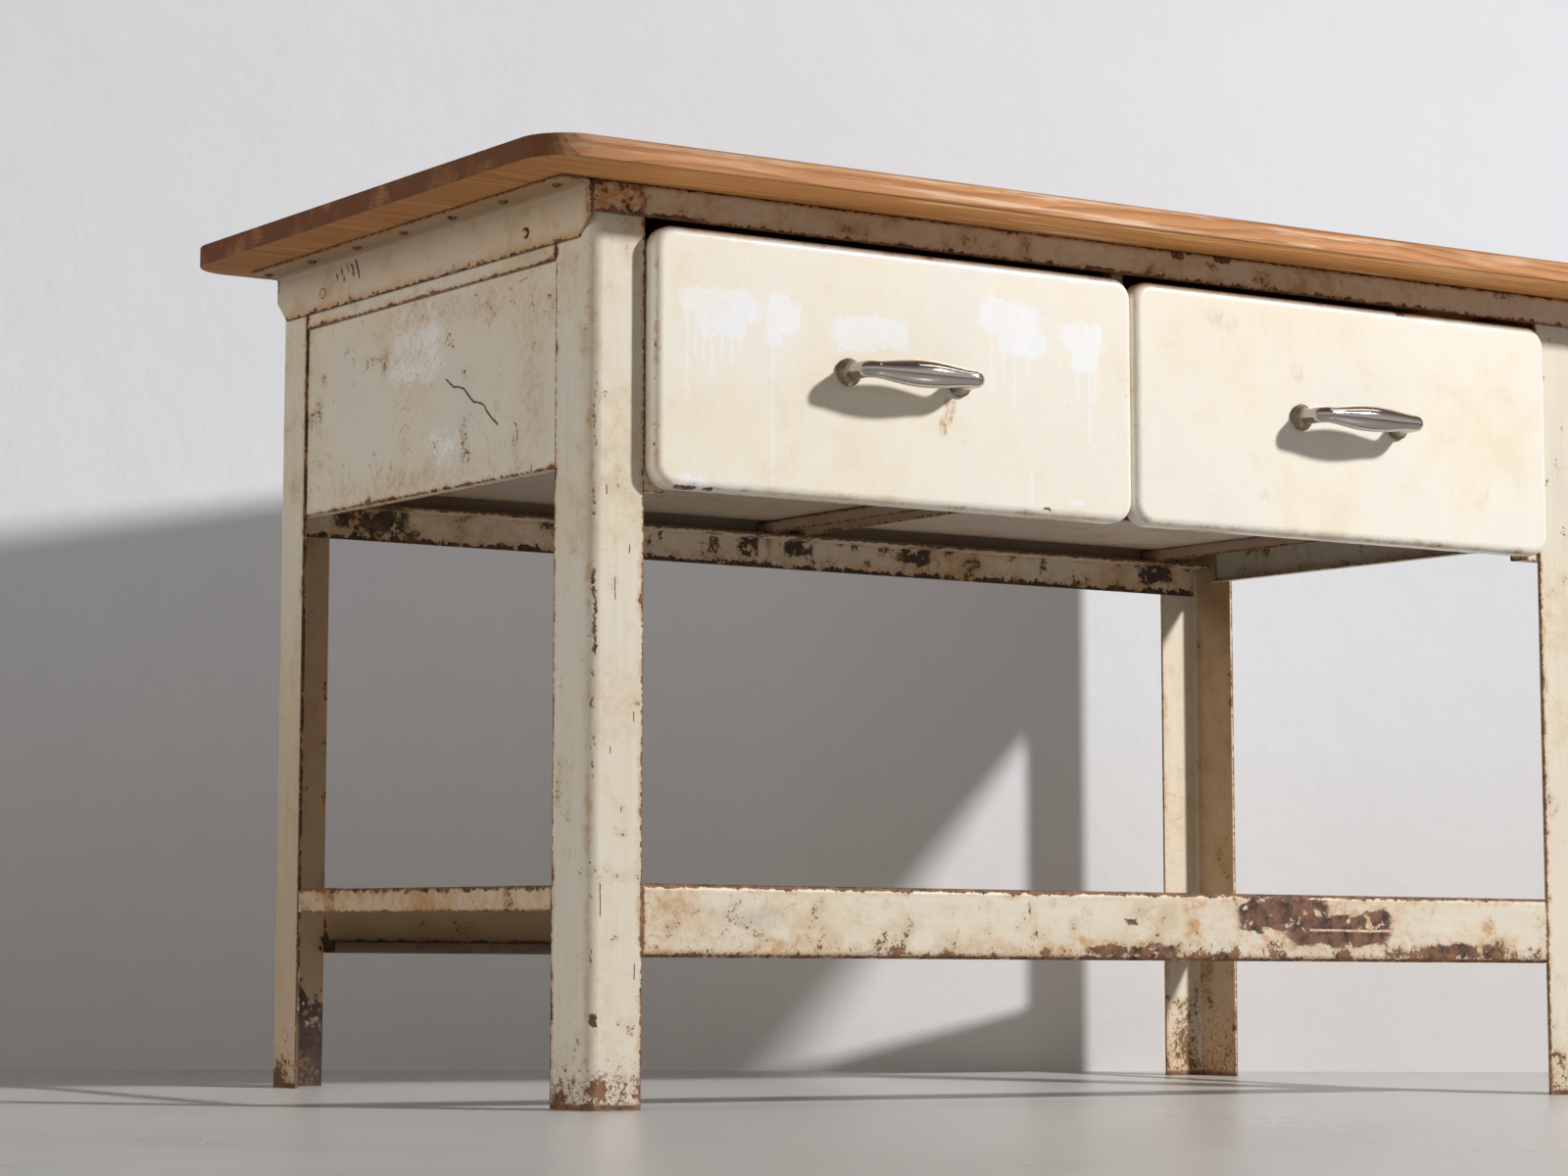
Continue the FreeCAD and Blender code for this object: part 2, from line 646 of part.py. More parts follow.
def drawer_back(label, side):
    """Sheet that closes the back of a drawer box."""
    made = body(label)
    thin, bend = s.drawer_sheet, s.drawer_box_bend - s.drawer_sheet
    a, b = side * (box_inner + thin), side * (box_outer - thin)
    stop = panel_back_face - s.drawer_back_gap
    pad(made, "XZ_Plane", rounded([
        (a, drawer_bottom + thin, bend), (b, drawer_bottom + thin, bend),
        (b, drawer_box_top - thin, None), (a, drawer_box_top - thin, None)]), stop - thin, stop)


def handle(label, side):
    """Cast bow handle: a grip that swells from slim necks, round elbows and flared feet with a rim."""
    made = body(label)
    middle = side * (drawer_outer + drawer_inner) / 2
    half, tip, belly = s.handle_pitch / 2, s.handle_end / 2, s.handle_grip / 2
    bulge = belly - tip
    sweep = (half * half + bulge * bulge) / (2 * bulge)
    neck, swell = NECK_SHARE * sweep, (1 - NECK_SHARE) * sweep
    bend, level = (1 - NECK_SHARE) * half, tip + NECK_SHARE * bulge
    turned(made, (middle, drawer_face - s.handle_reach, handle_level), [
        (-half, 0, None), (half, 0, None), (half, tip, (neck, -1)), (bend, level, (swell, 1)),
        (-bend, level, (neck, -1)), (-half, tip, None)], "H_Axis")
    rim, bore = s.handle_foot_rim, s.handle_screw / 2
    foot = (s.handle_foot - rim) / 2
    flare = foot - tip
    for turn in (-1, 1):
        turned(made, (middle + turn * half, drawer_face, handle_level), [
            (bore, 0, None), (bore, -s.handle_screw_bite, None), (0, -s.handle_screw_bite, None),
            (0, -s.handle_reach - tip, (tip, 1)), (tip, -s.handle_reach, None),
            (tip, -rim - flare, (flare, -1)), (foot, -rim, (rim / 2, 1)),
            (foot + rim / 2, -rim / 2, (rim / 2, 1)), (foot, 0, None)], "V_Axis")


def handle_screws(label, side):
    """Two screws from inside the drawer front into the handle feet."""
    made = body(label)
    made.AllowCompound = True
    middle = side * (drawer_outer + drawer_inner) / 2
    shank, head = s.handle_screw / 2, s.handle_screw_head / 2
    rear = s.drawer_sheet
    feature = turned(made, (middle - s.handle_pitch / 2, drawer_face, handle_level), [
        (0, -s.handle_screw_bite, None), (shank, -s.handle_screw_bite, None), (shank, rear, None),
        (head, rear, None), (head, rear + s.handle_screw_head_height, None),
        (0, rear + s.handle_screw_head_height, None)], "V_Axis")
    row(made, feature, "X_Axis", s.handle_pitch, 2)


leg("leg_front_left", -end, front, 0.0)
leg("leg_front_right", end, front, 90.0)
leg("leg_back_right", end, back, 180.0)
leg("leg_back_left", -end, back, 270.0, drilled=True)
upper_rail("rail_front", front, 1)
upper_rail("rail_back", back, -1)
lower_rail("lower_rail_front", front + s.leg_sheet, 1, leg_edge - s.lower_rail_gap)
lower_rail("lower_rail_back", back - s.leg_sheet, -1, end - s.leg_corner_radius)
back_panel("panel_back")
middle_runner("runner_middle")
middle_post("post_middle")
long_stretcher("stretcher_front", front, 1)
long_stretcher("stretcher_back", back, -1)
for name, hand in (("left", -1), ("right", 1)):
    apron(f"apron_{name}", hand)
    end_strip(f"strip_{name}", hand)
    end_panel(f"panel_{name}", hand)
    lug(f"lug_{name}", hand)
    end_runner(f"runner_{name}", hand)
    side_bar(f"stretcher_{name}", hand)
    top_screws(f"top_screws_{name}", hand)
    rivets(f"rivets_{name}", hand)
    drawer_front(f"drawer_front_{name}", hand)
    drawer_tray(f"drawer_tray_{name}", hand)
    drawer_back(f"drawer_back_{name}", hand)
    handle(f"handle_{name}", hand)
    handle_screws(f"handle_screws_{name}", hand)
front_edge, back_edge = -s.top_depth / 2, s.top_depth / 2
first_joint = front_edge + s.board_one_width
second_joint = first_joint + s.board_two_width
third_joint = second_joint + s.board_three_width
fourth_joint = back_edge - s.board_five_width
board("top_board_1", front_edge, first_joint, first=True)
board("top_board_2", first_joint, second_joint)
board("top_board_3", second_joint, third_joint)
board("top_board_4", third_joint, fourth_joint)
board("top_board_5", fourth_joint, back_edge, last=True)

doc.recompute()
for item in doc.Objects:
    if "Invalid" in item.State or "Error" in item.State:
        raise RuntimeError(f"{item.Label} did not build")
os.makedirs("parts", exist_ok=True)
for made in nodes:
    if made.Shape.isNull() or not made.Shape.isValid():
        raise RuntimeError(f"{made.Label} has no valid shape")
    made.Shape.exportStep(f"parts/{made.Label}.step")
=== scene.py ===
"""Looks of an old steel work table: chipped paint, enamelled drawers, chrome handles and a pine top."""

import math

import bmesh
import bpy
from bpy.props import FloatProperty, FloatVectorProperty, PointerProperty
from bpy.types import Operator, Panel, PropertyGroup
from mathutils import Matrix, Quaternion, Vector


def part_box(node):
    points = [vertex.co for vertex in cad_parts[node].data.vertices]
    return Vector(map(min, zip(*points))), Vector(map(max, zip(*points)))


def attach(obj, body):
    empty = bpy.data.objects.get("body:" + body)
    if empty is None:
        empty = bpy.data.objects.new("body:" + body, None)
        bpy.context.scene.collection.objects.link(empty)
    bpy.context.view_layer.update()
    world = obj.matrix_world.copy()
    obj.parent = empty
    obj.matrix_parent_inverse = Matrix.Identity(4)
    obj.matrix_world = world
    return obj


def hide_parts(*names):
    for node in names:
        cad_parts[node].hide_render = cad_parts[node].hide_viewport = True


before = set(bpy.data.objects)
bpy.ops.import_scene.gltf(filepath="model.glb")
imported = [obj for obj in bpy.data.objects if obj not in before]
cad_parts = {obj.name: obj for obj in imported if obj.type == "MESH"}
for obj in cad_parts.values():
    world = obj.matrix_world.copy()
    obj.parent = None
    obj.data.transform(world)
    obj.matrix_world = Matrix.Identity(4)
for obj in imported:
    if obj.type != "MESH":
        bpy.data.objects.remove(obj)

bl_info = {
    "name": "Work Table Finish",
    "version": (1, 0, 0),
    "blender": (4, 5, 0),
    "location": "View3D > Sidebar > Work Table",
    "description": "Finishes an old steel work table with drawers and a pine top, and sets its stage",
    "category": "Object",
}

MM = 0.001
UP = Vector((0.0, 0.0, 1.0))
X, Y, Z = range(3)
MID_NOISE = (0.5, 0.5, 0.5)
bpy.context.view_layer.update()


# Settings that a user would change


def tint(name, description, default):
    """A colour setting, in scene-linear values."""
    return FloatVectorProperty(name=name, description=description, default=default, size=3,
                               subtype="COLOR", min=0.0, max=1.0)


def length(name, description, default):
    """A length setting, in metres."""
    return FloatProperty(name=name, description=description, default=default, min=0.0,
                         subtype="DISTANCE", unit="LENGTH")


class PaintSettings(PropertyGroup):
    """Paint, enamel and rust of the steel pieces."""

    cream: tint("Cream paint", "Brushed paint of the frame", (0.72, 0.652, 0.535))
    enamel: tint("Cream enamel", "Glossy enamel of the drawer fronts", (0.88, 0.835, 0.74))
    touch_up: tint("Touch-up paint", "White paint dabbed over old damage", (0.9, 0.905, 0.92))
    grime: tint("Grime", "Brown dirt held by old paint", (0.4, 0.245, 0.115))
    rust_stain: tint("Rust stain", "Orange stain beside bare steel", (0.52, 0.27, 0.1))
    rust_light: tint("Brown rust", "Rust in the middle of a bare patch", (0.2, 0.093, 0.052))
    rust_dark: tint("Dark rust", "Rust of chips and edges", (0.04, 0.022, 0.014))
    bare_steel: tint("Dull steel", "Unpainted sheet inside the table", (0.43, 0.355, 0.28))
    chip_reach: length("Edge chips", "How far paint has chipped back from an edge", 0.0002)


class TopSettings(PropertyGroup):
    """Wood of the top."""

    pine_light: tint("Early wood", "Wide pale part of a growth ring", (0.655, 0.318, 0.142))
    pine_dark: tint("Late wood", "Narrow dark part of a growth ring", (0.24, 0.08, 0.022))
    # Also used for painted sheen on the top.
    pine_worn_sheen: tint("Worn wood", "Pale streaks where the finish has gone", (0.84, 0.58, 0.4))
    end_grain: tint("End grain", "Dark, dirty ends of the boards", (0.162, 0.068, 0.034))
    ring_width: length("Ring width", "Distance between growth rings", 0.0042)


class MetalSettings(PropertyGroup):
    """Handles, and bare metal of the handles and fasteners."""

    grip_width: length("Grip", "Thickest part of a handle", 0.0242)
    neck_width: length("Neck", "Handle between its foot and its grip", 0.0148)
    handle_reach: length("Handle reach", "Middle of the grip ahead of the drawer front", 0.031)
    chrome: tint("Chrome", "Worn plating of the grips", (0.45, 0.415, 0.39))
    brass: tint("Worn plating", "Brassy metal where the plating has gone", (0.3, 0.235, 0.155))
    screw: tint("Screw steel", "Dull heads of screws", (0.19, 0.15, 0.11))


class StageSettings(PropertyGroup):
    """Floor, backdrop, lamps and camera."""

    floor: tint("Floor", "Pale floor", (0.46, 0.446, 0.432))
    backdrop: tint("Backdrop", "Pale wall behind the table", (0.645, 0.655, 0.685))
    backdrop_distance: length("Backdrop distance", "From the table's middle back to the wall", 0.614)
    key_power: FloatProperty(name="Key lamp", description="Power of the lamp in front", default=12.3,
                             min=0.0, subtype="POWER", unit="POWER")
    key_size: length("Key lamp size", "Width of the lamp in front", 0.2)
    ambient: FloatProperty(name="Ambient light", description="Strength of the even light", default=0.11,
                           min=0.0)
    lens: FloatProperty(name="Lens", description="Focal length of the camera", default=89.36, min=1.0,
                        subtype="DISTANCE_CAMERA", unit="CAMERA")


class WorkTableSettings(PropertyGroup):
    """All settings of the work table."""

    paint: PointerProperty(type=PaintSettings)
    top: PointerProperty(type=TopSettings)
    metal: PointerProperty(type=MetalSettings)
    stage: PointerProperty(type=StageSettings)


def settings():
    """The settings stored in the scene."""
    return bpy.context.scene.work_table


def opaque(colour):
    """A colour setting as the four numbers that a node takes."""
    return (*colour, 1.0)


def new_object(name, data):
    """An object of that data, in the scene."""
    made = bpy.data.objects.new(name, data)
    bpy.context.scene.collection.objects.link(made)
    return made


# Short forms for shader nodes


class Tree:
    """Adds and links the nodes of one shader tree."""

    def __init__(self, tree):
        self.tree = tree

    def put(self, socket, value):
        """Link an output to a socket, or set the socket's own value."""
        if isinstance(value, bpy.types.NodeSocket):
            self.tree.links.new(value, socket)
        else:
            socket.default_value = value

    def add(self, kind, options=None, **inputs):
        """A node with its options set, and its inputs linked or set by name."""
        node = self.tree.nodes.new("ShaderNode" + kind)
        for name, value in (options or {}).items():
            setattr(node, name, value)
        for name, value in inputs.items():
            self.put(node.inputs[name.replace("_", " ")], value)
        return node

    def math(self, operation, *values, clamp=False):
        """The result of a Math node."""
        node = self.add("Math", {"operation": operation, "use_clamp": clamp})
        for socket, value in zip(node.inputs, values):
            self.put(socket, value)
        return node.outputs[0]

    def times(self, first, second):
        """Two numbers multiplied."""
        return self.math("MULTIPLY", first, second)

    def plus(self, first, second):
        """Two numbers added."""
        return self.math("ADD", first, second)

    def less(self, first, second):
        """The first number less the second."""
        return self.math("SUBTRACT", first, second)

    def line(self, value, slope, start):
        """A number times a slope, plus a start."""
        return self.math("MULTIPLY_ADD", value, slope, start)

    def vector(self, operation, *values):
        """The vector result of a Vector Math node, or its number where it gives one."""
        node = self.add("VectorMath", {"operation": operation})
        for socket, value in zip(node.inputs, values):
            self.put(socket, value)
        gives_number = operation in ("LENGTH", "DISTANCE", "DOT_PRODUCT")
        return node.outputs["Value" if gives_number else "Vector"]

    def scaled(self, vector, factor):
        """A vector or colour times a number."""
        node = self.add("VectorMath", {"operation": "SCALE"}, Scale=factor)
        self.put(node.inputs[0], vector)
        return node.outputs["Vector"]

    def parts(self, vector):
        """The three numbers of a vector."""
        return self.add("SeparateXYZ", Vector=vector).outputs

    def noise(self, place, scale, detail=3.0, roughness=0.5, gives="Fac"):
        """Fractal noise over the surface."""
        node = self.add("TexNoise", Vector=place, Scale=scale, Detail=detail, Roughness=roughness)
        return node.outputs[gives]

    def fade(self, value, start, stop, low=0.0, high=1.0):
        """A smooth step from low to high as a value goes from start to stop."""
        node = self.add("MapRange", {"interpolation_type": "SMOOTHSTEP"}, Value=value, From_Min=start,
                        From_Max=stop, To_Min=low, To_Max=high)
        return node.outputs["Result"]

    def mix(self, factor, first, second):
        """Two colours mixed by a mask."""
        node = self.add("Mix", {"data_type": "RGBA"})
        factor_socket, first_socket, second_socket = node.inputs[0], node.inputs[6], node.inputs[7]
        self.put(factor_socket, factor)
        self.put(first_socket, first)
        self.put(second_socket, second)
        return node.outputs[2]

    def most(self, *masks):
        """The strongest of several masks."""
        strongest = masks[0]
        for mask in masks[1:]:
            strongest = self.math("MAXIMUM", strongest, mask)
        return strongest

    def use(self, group, **inputs):
        """A node group placed in this tree."""
        return self.add("Group", {"node_tree": group}, **inputs).outputs


def effect(name, takes, gives):
    """Turns a function that fills a node group into one that gives the group, built once.

    What the group takes and gives is listed by kind.
    """
    def turned(fill):
        def group():
            made = bpy.data.node_groups.get(name)
            if made:
                return made
            made = bpy.data.node_groups.new(name, "ShaderNodeTree")
            for way, sockets in (("INPUT", takes), ("OUTPUT", gives)):
                for kind, labels in sockets.items():
                    for label in labels:
                        made.interface.new_socket(label, in_out=way, socket_type="NodeSocket" + kind)
            tree = Tree(made)
            given = made.nodes.new("NodeGroupInput").outputs
            end = made.nodes.new("NodeGroupOutput").inputs
            for label, value in fill(tree, given).items():
                tree.put(end[label], value)
            return made
        return group
    return turned


# Effects that several finishes share


@effect("Uneven Offset", {"Vector": ["Place"]}, {"Vector": ["Offset"]})
def uneven_offset(tree, given):
    """Offsets that make the outlines of marks ragged."""
    cloud = tree.noise(given["Place"], 42.0, 7.0, 0.74, "Color")
    return {"Offset": tree.vector("SUBTRACT", cloud, MID_NOISE)}


@effect("Ragged Patch",
        {"Vector": ["Place", "Offset", "Centre", "Reach"], "Float": ["Ragged", "Soft"]},
        {"Float": ["Mask"]})
def ragged_patch(tree, given):
    """Mask of an oval patch with a ragged outline."""
    shaken = tree.vector("MULTIPLY_ADD", given["Offset"], given["Ragged"], given["Place"])
    away = tree.vector("SUBTRACT", shaken, given["Centre"])
    share_out = tree.vector("DIVIDE", away, given["Reach"])
    squared = tree.vector("MULTIPLY", share_out, share_out)
    reach = tree.math("POWER", tree.vector("DOT_PRODUCT", squared, squared), 0.25)
    outer = tree.plus(1.0, given["Soft"])
    inner = tree.less(1.0, given["Soft"])
    return {"Mask": tree.fade(reach, outer, inner)}


@effect("Ragged Stroke",
        {"Vector": ["Place", "Offset", "Start", "End"], "Float": ["Width", "Ragged", "Gaps"]},
        {"Float": ["Mask"]})
def ragged_stroke(tree, given):
    """Mask of a straight scratch, drip or worn line, with gaps in it."""
    shaken = tree.vector("MULTIPLY_ADD", given["Offset"], given["Ragged"], given["Place"])
    run = tree.vector("SUBTRACT", given["End"], given["Start"])
    gone = tree.vector("SUBTRACT", shaken, given["Start"])
    along = tree.math("DIVIDE", tree.vector("DOT_PRODUCT", gone, run),
                      tree.vector("DOT_PRODUCT", run, run), clamp=True)
    nearest = tree.vector("MULTIPLY_ADD", run, along, given["Start"])
    away = tree.vector("DISTANCE", shaken, nearest)
    line = tree.fade(away, given["Width"], tree.times(given["Width"], 0.4))
    gaps = tree.noise(given["Place"], 38.0, 6.0, 0.72)
    kept = tree.fade(gaps, tree.less(given["Gaps"], 0.04), tree.plus(given["Gaps"], 0.04))
    return {"Mask": tree.times(line, kept)}


@effect("Edge Distance", {"Vector": ["Place", "Low", "High"]}, {"Float": ["Distance"]})
def edge_distance(tree, given):
    """Distance to the nearest edge of the box that a piece fills."""
    above = tree.vector("SUBTRACT", given["Place"], given["Low"])
    below = tree.vector("SUBTRACT", given["High"], given["Place"])
    x, y, z = tree.parts(tree.vector("MINIMUM", above, below))
    nearer, farther = tree.math("MINIMUM", x, y), tree.math("MAXIMUM", x, y)
    return {"Distance": tree.math("MAXIMUM", nearer, tree.math("MINIMUM", farther, z))}


@effect("Rusty Steel", {"Vector": ["Place"], "Color": ["Dark", "Light"]},
        {"Color": ["Colour"], "Float": ["Height"]})
def rusty_steel(tree, given):
    """Rust from nearly black to brown, with a rough skin."""
    blotch = tree.noise(given["Place"], 60.0, 5.0, 0.65)
    grit = tree.noise(given["Place"], 420.0, 3.0, 0.6)
    body = tree.mix(tree.fade(blotch, 0.38, 0.6), given["Dark"], given["Light"])
    crust = tree.line(grit, 0.9, 0.55)
    return {"Colour": tree.scaled(body, crust), "Height": grit}


@effect("Old Paint",
        {"Vector": ["Place", "Brush"], "Color": ["Paint", "Grime", "Rust Stain", "Rust Light", "Rust Dark"],
         "Float": ["Edge", "Streak", "Dirt", "Scuff", "Freckle", "Chip", "Rim", "Decay", "Stain", "Bare",
                   "Gloss"]},
        {"Color": ["Colour"], "Float": ["Roughness", "Height"]})
def old_paint(tree, given):
    """Brushed paint, mottled and dirty, with chipped edges, freckles of rust and stains beside them."""
    place, edge, decay = given["Place"], given["Edge"], given["Decay"]
    broad = tree.noise(place, 9.0, 3.0)
    blotch = tree.noise(place, 34.0, 5.0, 0.62)
    grit = tree.noise(place, 210.0, 4.0, 0.65)
    brushed = tree.noise(tree.vector("MULTIPLY", place, given["Brush"]), 1.0, 4.0, 0.6)
    uneven = tree.times(tree.less(brushed, 0.5), given["Streak"])
    tone = tree.line(broad, 0.2, tree.plus(uneven, 0.9))
    film = tree.scaled(given["Paint"], tone)
    aged = tree.vector("MULTIPLY", film, (0.96, 0.925, 0.84))
    clouds = tree.line(broad, 0.75, tree.times(blotch, 0.25))
    film = tree.mix(tree.fade(clouds, 0.4, 0.64), film, aged)
    dirt = tree.line(blotch, 0.6, tree.line(broad, 0.4, tree.times(decay, 0.12)))
    dirty = tree.times(tree.fade(dirt, 0.5, 0.68), given["Dirt"])
    film = tree.mix(dirty, film, given["Grime"])
    rough_edge = tree.line(tree.less(blotch, 0.45), 0.03, tree.line(tree.less(grit, 0.5), 0.007, edge))
    freckle_line = tree.less(tree.less(0.82, tree.times(decay, 0.25)),
                             tree.times(tree.fade(blotch, 0.5, 0.68), given["Freckle"]))
    fine = tree.noise(place, 470.0, 3.0, 0.65)
    freckles = tree.most(tree.fade(grit, freckle_line, tree.plus(freckle_line, 0.025)),
                         tree.fade(fine, freckle_line, tree.plus(freckle_line, 0.03)))
    near_freckle = tree.fade(grit, tree.less(freckle_line, 0.1), freckle_line)
    near_edge = tree.fade(rough_edge, tree.plus(given["Chip"], 0.007), given["Chip"])
    lines = tree.fade(tree.math("PINGPONG", tree.noise(place, 7.0, 1.0, 0.4), 0.016), 0.0026, 0.0008)
    broken = tree.times(tree.fade(tree.noise(place, 75.0, 6.0, 0.78), 0.5, 0.58),
                        tree.fade(broad, 0.4, 0.6, 0.15, 1.0))
    scuffs = tree.times(lines, broken)
    speckle = tree.fade(tree.noise(place, 105.0, 5.0, 0.7), 0.42, 0.6, 0.2, 1.0)
    stain = tree.most(tree.times(near_edge, 0.7), tree.times(near_freckle, 0.4),
                      tree.times(scuffs, given["Scuff"]),
                      tree.math("MULTIPLY", speckle, given["Stain"], clamp=True))
    film = tree.mix(stain, film, given["Rust Stain"])
    chips = tree.fade(rough_edge, tree.plus(given["Chip"], 0.0003), given["Chip"])
    rim_edge = tree.line(tree.less(grit, 0.5), 0.009, edge)
    rim = tree.fade(rim_edge, tree.plus(given["Rim"], 0.0003), given["Rim"])
    bare = tree.most(chips, rim, freckles, given["Bare"])
    rust = tree.use(rusty_steel(), Place=place, Dark=given["Rust Dark"], Light=given["Rust Light"])
    skin = tree.line(tree.less(1.0, bare), 1.0, tree.times(brushed, given["Streak"]))
    height = tree.line(tree.times(rust["Height"], bare), 0.5, skin)
    gloss = tree.line(blotch, 0.2, given["Gloss"])
    roughness = tree.line(bare, 0.32, tree.line(dirty, 0.2, gloss))
    orange = tree.times(tree.most(rim, freckles), 0.18)
    crust = tree.mix(orange, rust["Colour"], given["Rust Stain"])
    return {"Colour": tree.mix(bare, film, crust), "Roughness": roughness, "Height": height}


@effect("Pine Grain",
        {"Vector": ["Place", "Heart"], "Color": ["Light", "Dark", "Pale", "End"],
         "Float": ["Ring", "Dirty", "Rubbed"]},
        {"Color": ["Colour"], "Float": ["Roughness", "Height"]})
def pine_grain(tree, given):
    """Growth rings round a heart line along X, with fibres and darker, dirtier ends."""
    place = given["Place"]
    slow = tree.vector("MULTIPLY", place, (1.3, 9.0, 9.0))
    sway = tree.vector("SUBTRACT", tree.noise(slow, 1.0, 3.0, 0.5, "Color"), MID_NOISE)
    bent = tree.vector("ADD", place, tree.scaled(sway, 0.05))
    out = tree.vector("MULTIPLY", tree.vector("SUBTRACT", bent, given["Heart"]), (0.012, 1.0, 1.0))
    ring = tree.math("FRACT", tree.math("DIVIDE", tree.vector("LENGTH", out), given["Ring"]))
    late = tree.times(tree.fade(ring, 0.35, 0.9), tree.fade(ring, 1.0, 0.93))
    fibre = tree.noise(tree.vector("MULTIPLY", place, (14.0, 900.0, 900.0)), 1.0, 3.0, 0.6)
    patchy = tree.noise(tree.vector("MULTIPLY", place, (4.0, 22.0, 22.0)), 1.0, 4.0, 0.6)
    depth = tree.line(late, 0.38, -0.2)
    depth = tree.math("MULTIPLY_ADD", fibre, 0.6, depth, clamp=True)
    wood = tree.mix(depth, given["Light"], given["Dark"])
    wood = tree.scaled(wood, tree.line(patchy, 0.7, 0.65))
    # Pale streaks: partly worn finish, partly painted sheen.
    streaks = tree.noise(tree.vector("MULTIPLY", place, (5.0, 130.0, 130.0)), 1.0, 4.0, 0.65)
    wear_and_sheen = tree.times(tree.fade(streaks, 0.5, 0.62), tree.fade(patchy, 0.42, 0.58))
    wood = tree.mix(tree.times(wear_and_sheen, given["Rubbed"]), wood, given["Pale"])
    dirty = tree.times(given["Dirty"], tree.fade(patchy, 0.3, 0.52, 0.55, 1.0))
    wood = tree.mix(dirty, wood, given["End"])
    height = tree.line(fibre, 0.5, tree.times(late, 0.5))
    return {"Colour": wood, "Height": height, "Roughness": tree.line(patchy, 0.25, 0.56)}


# Materials


UPRIGHT = (160.0, 160.0, 9.0)
LENGTHWISE = (9.0, 160.0, 160.0)
CROSSWISE = (160.0, 9.0, 160.0)


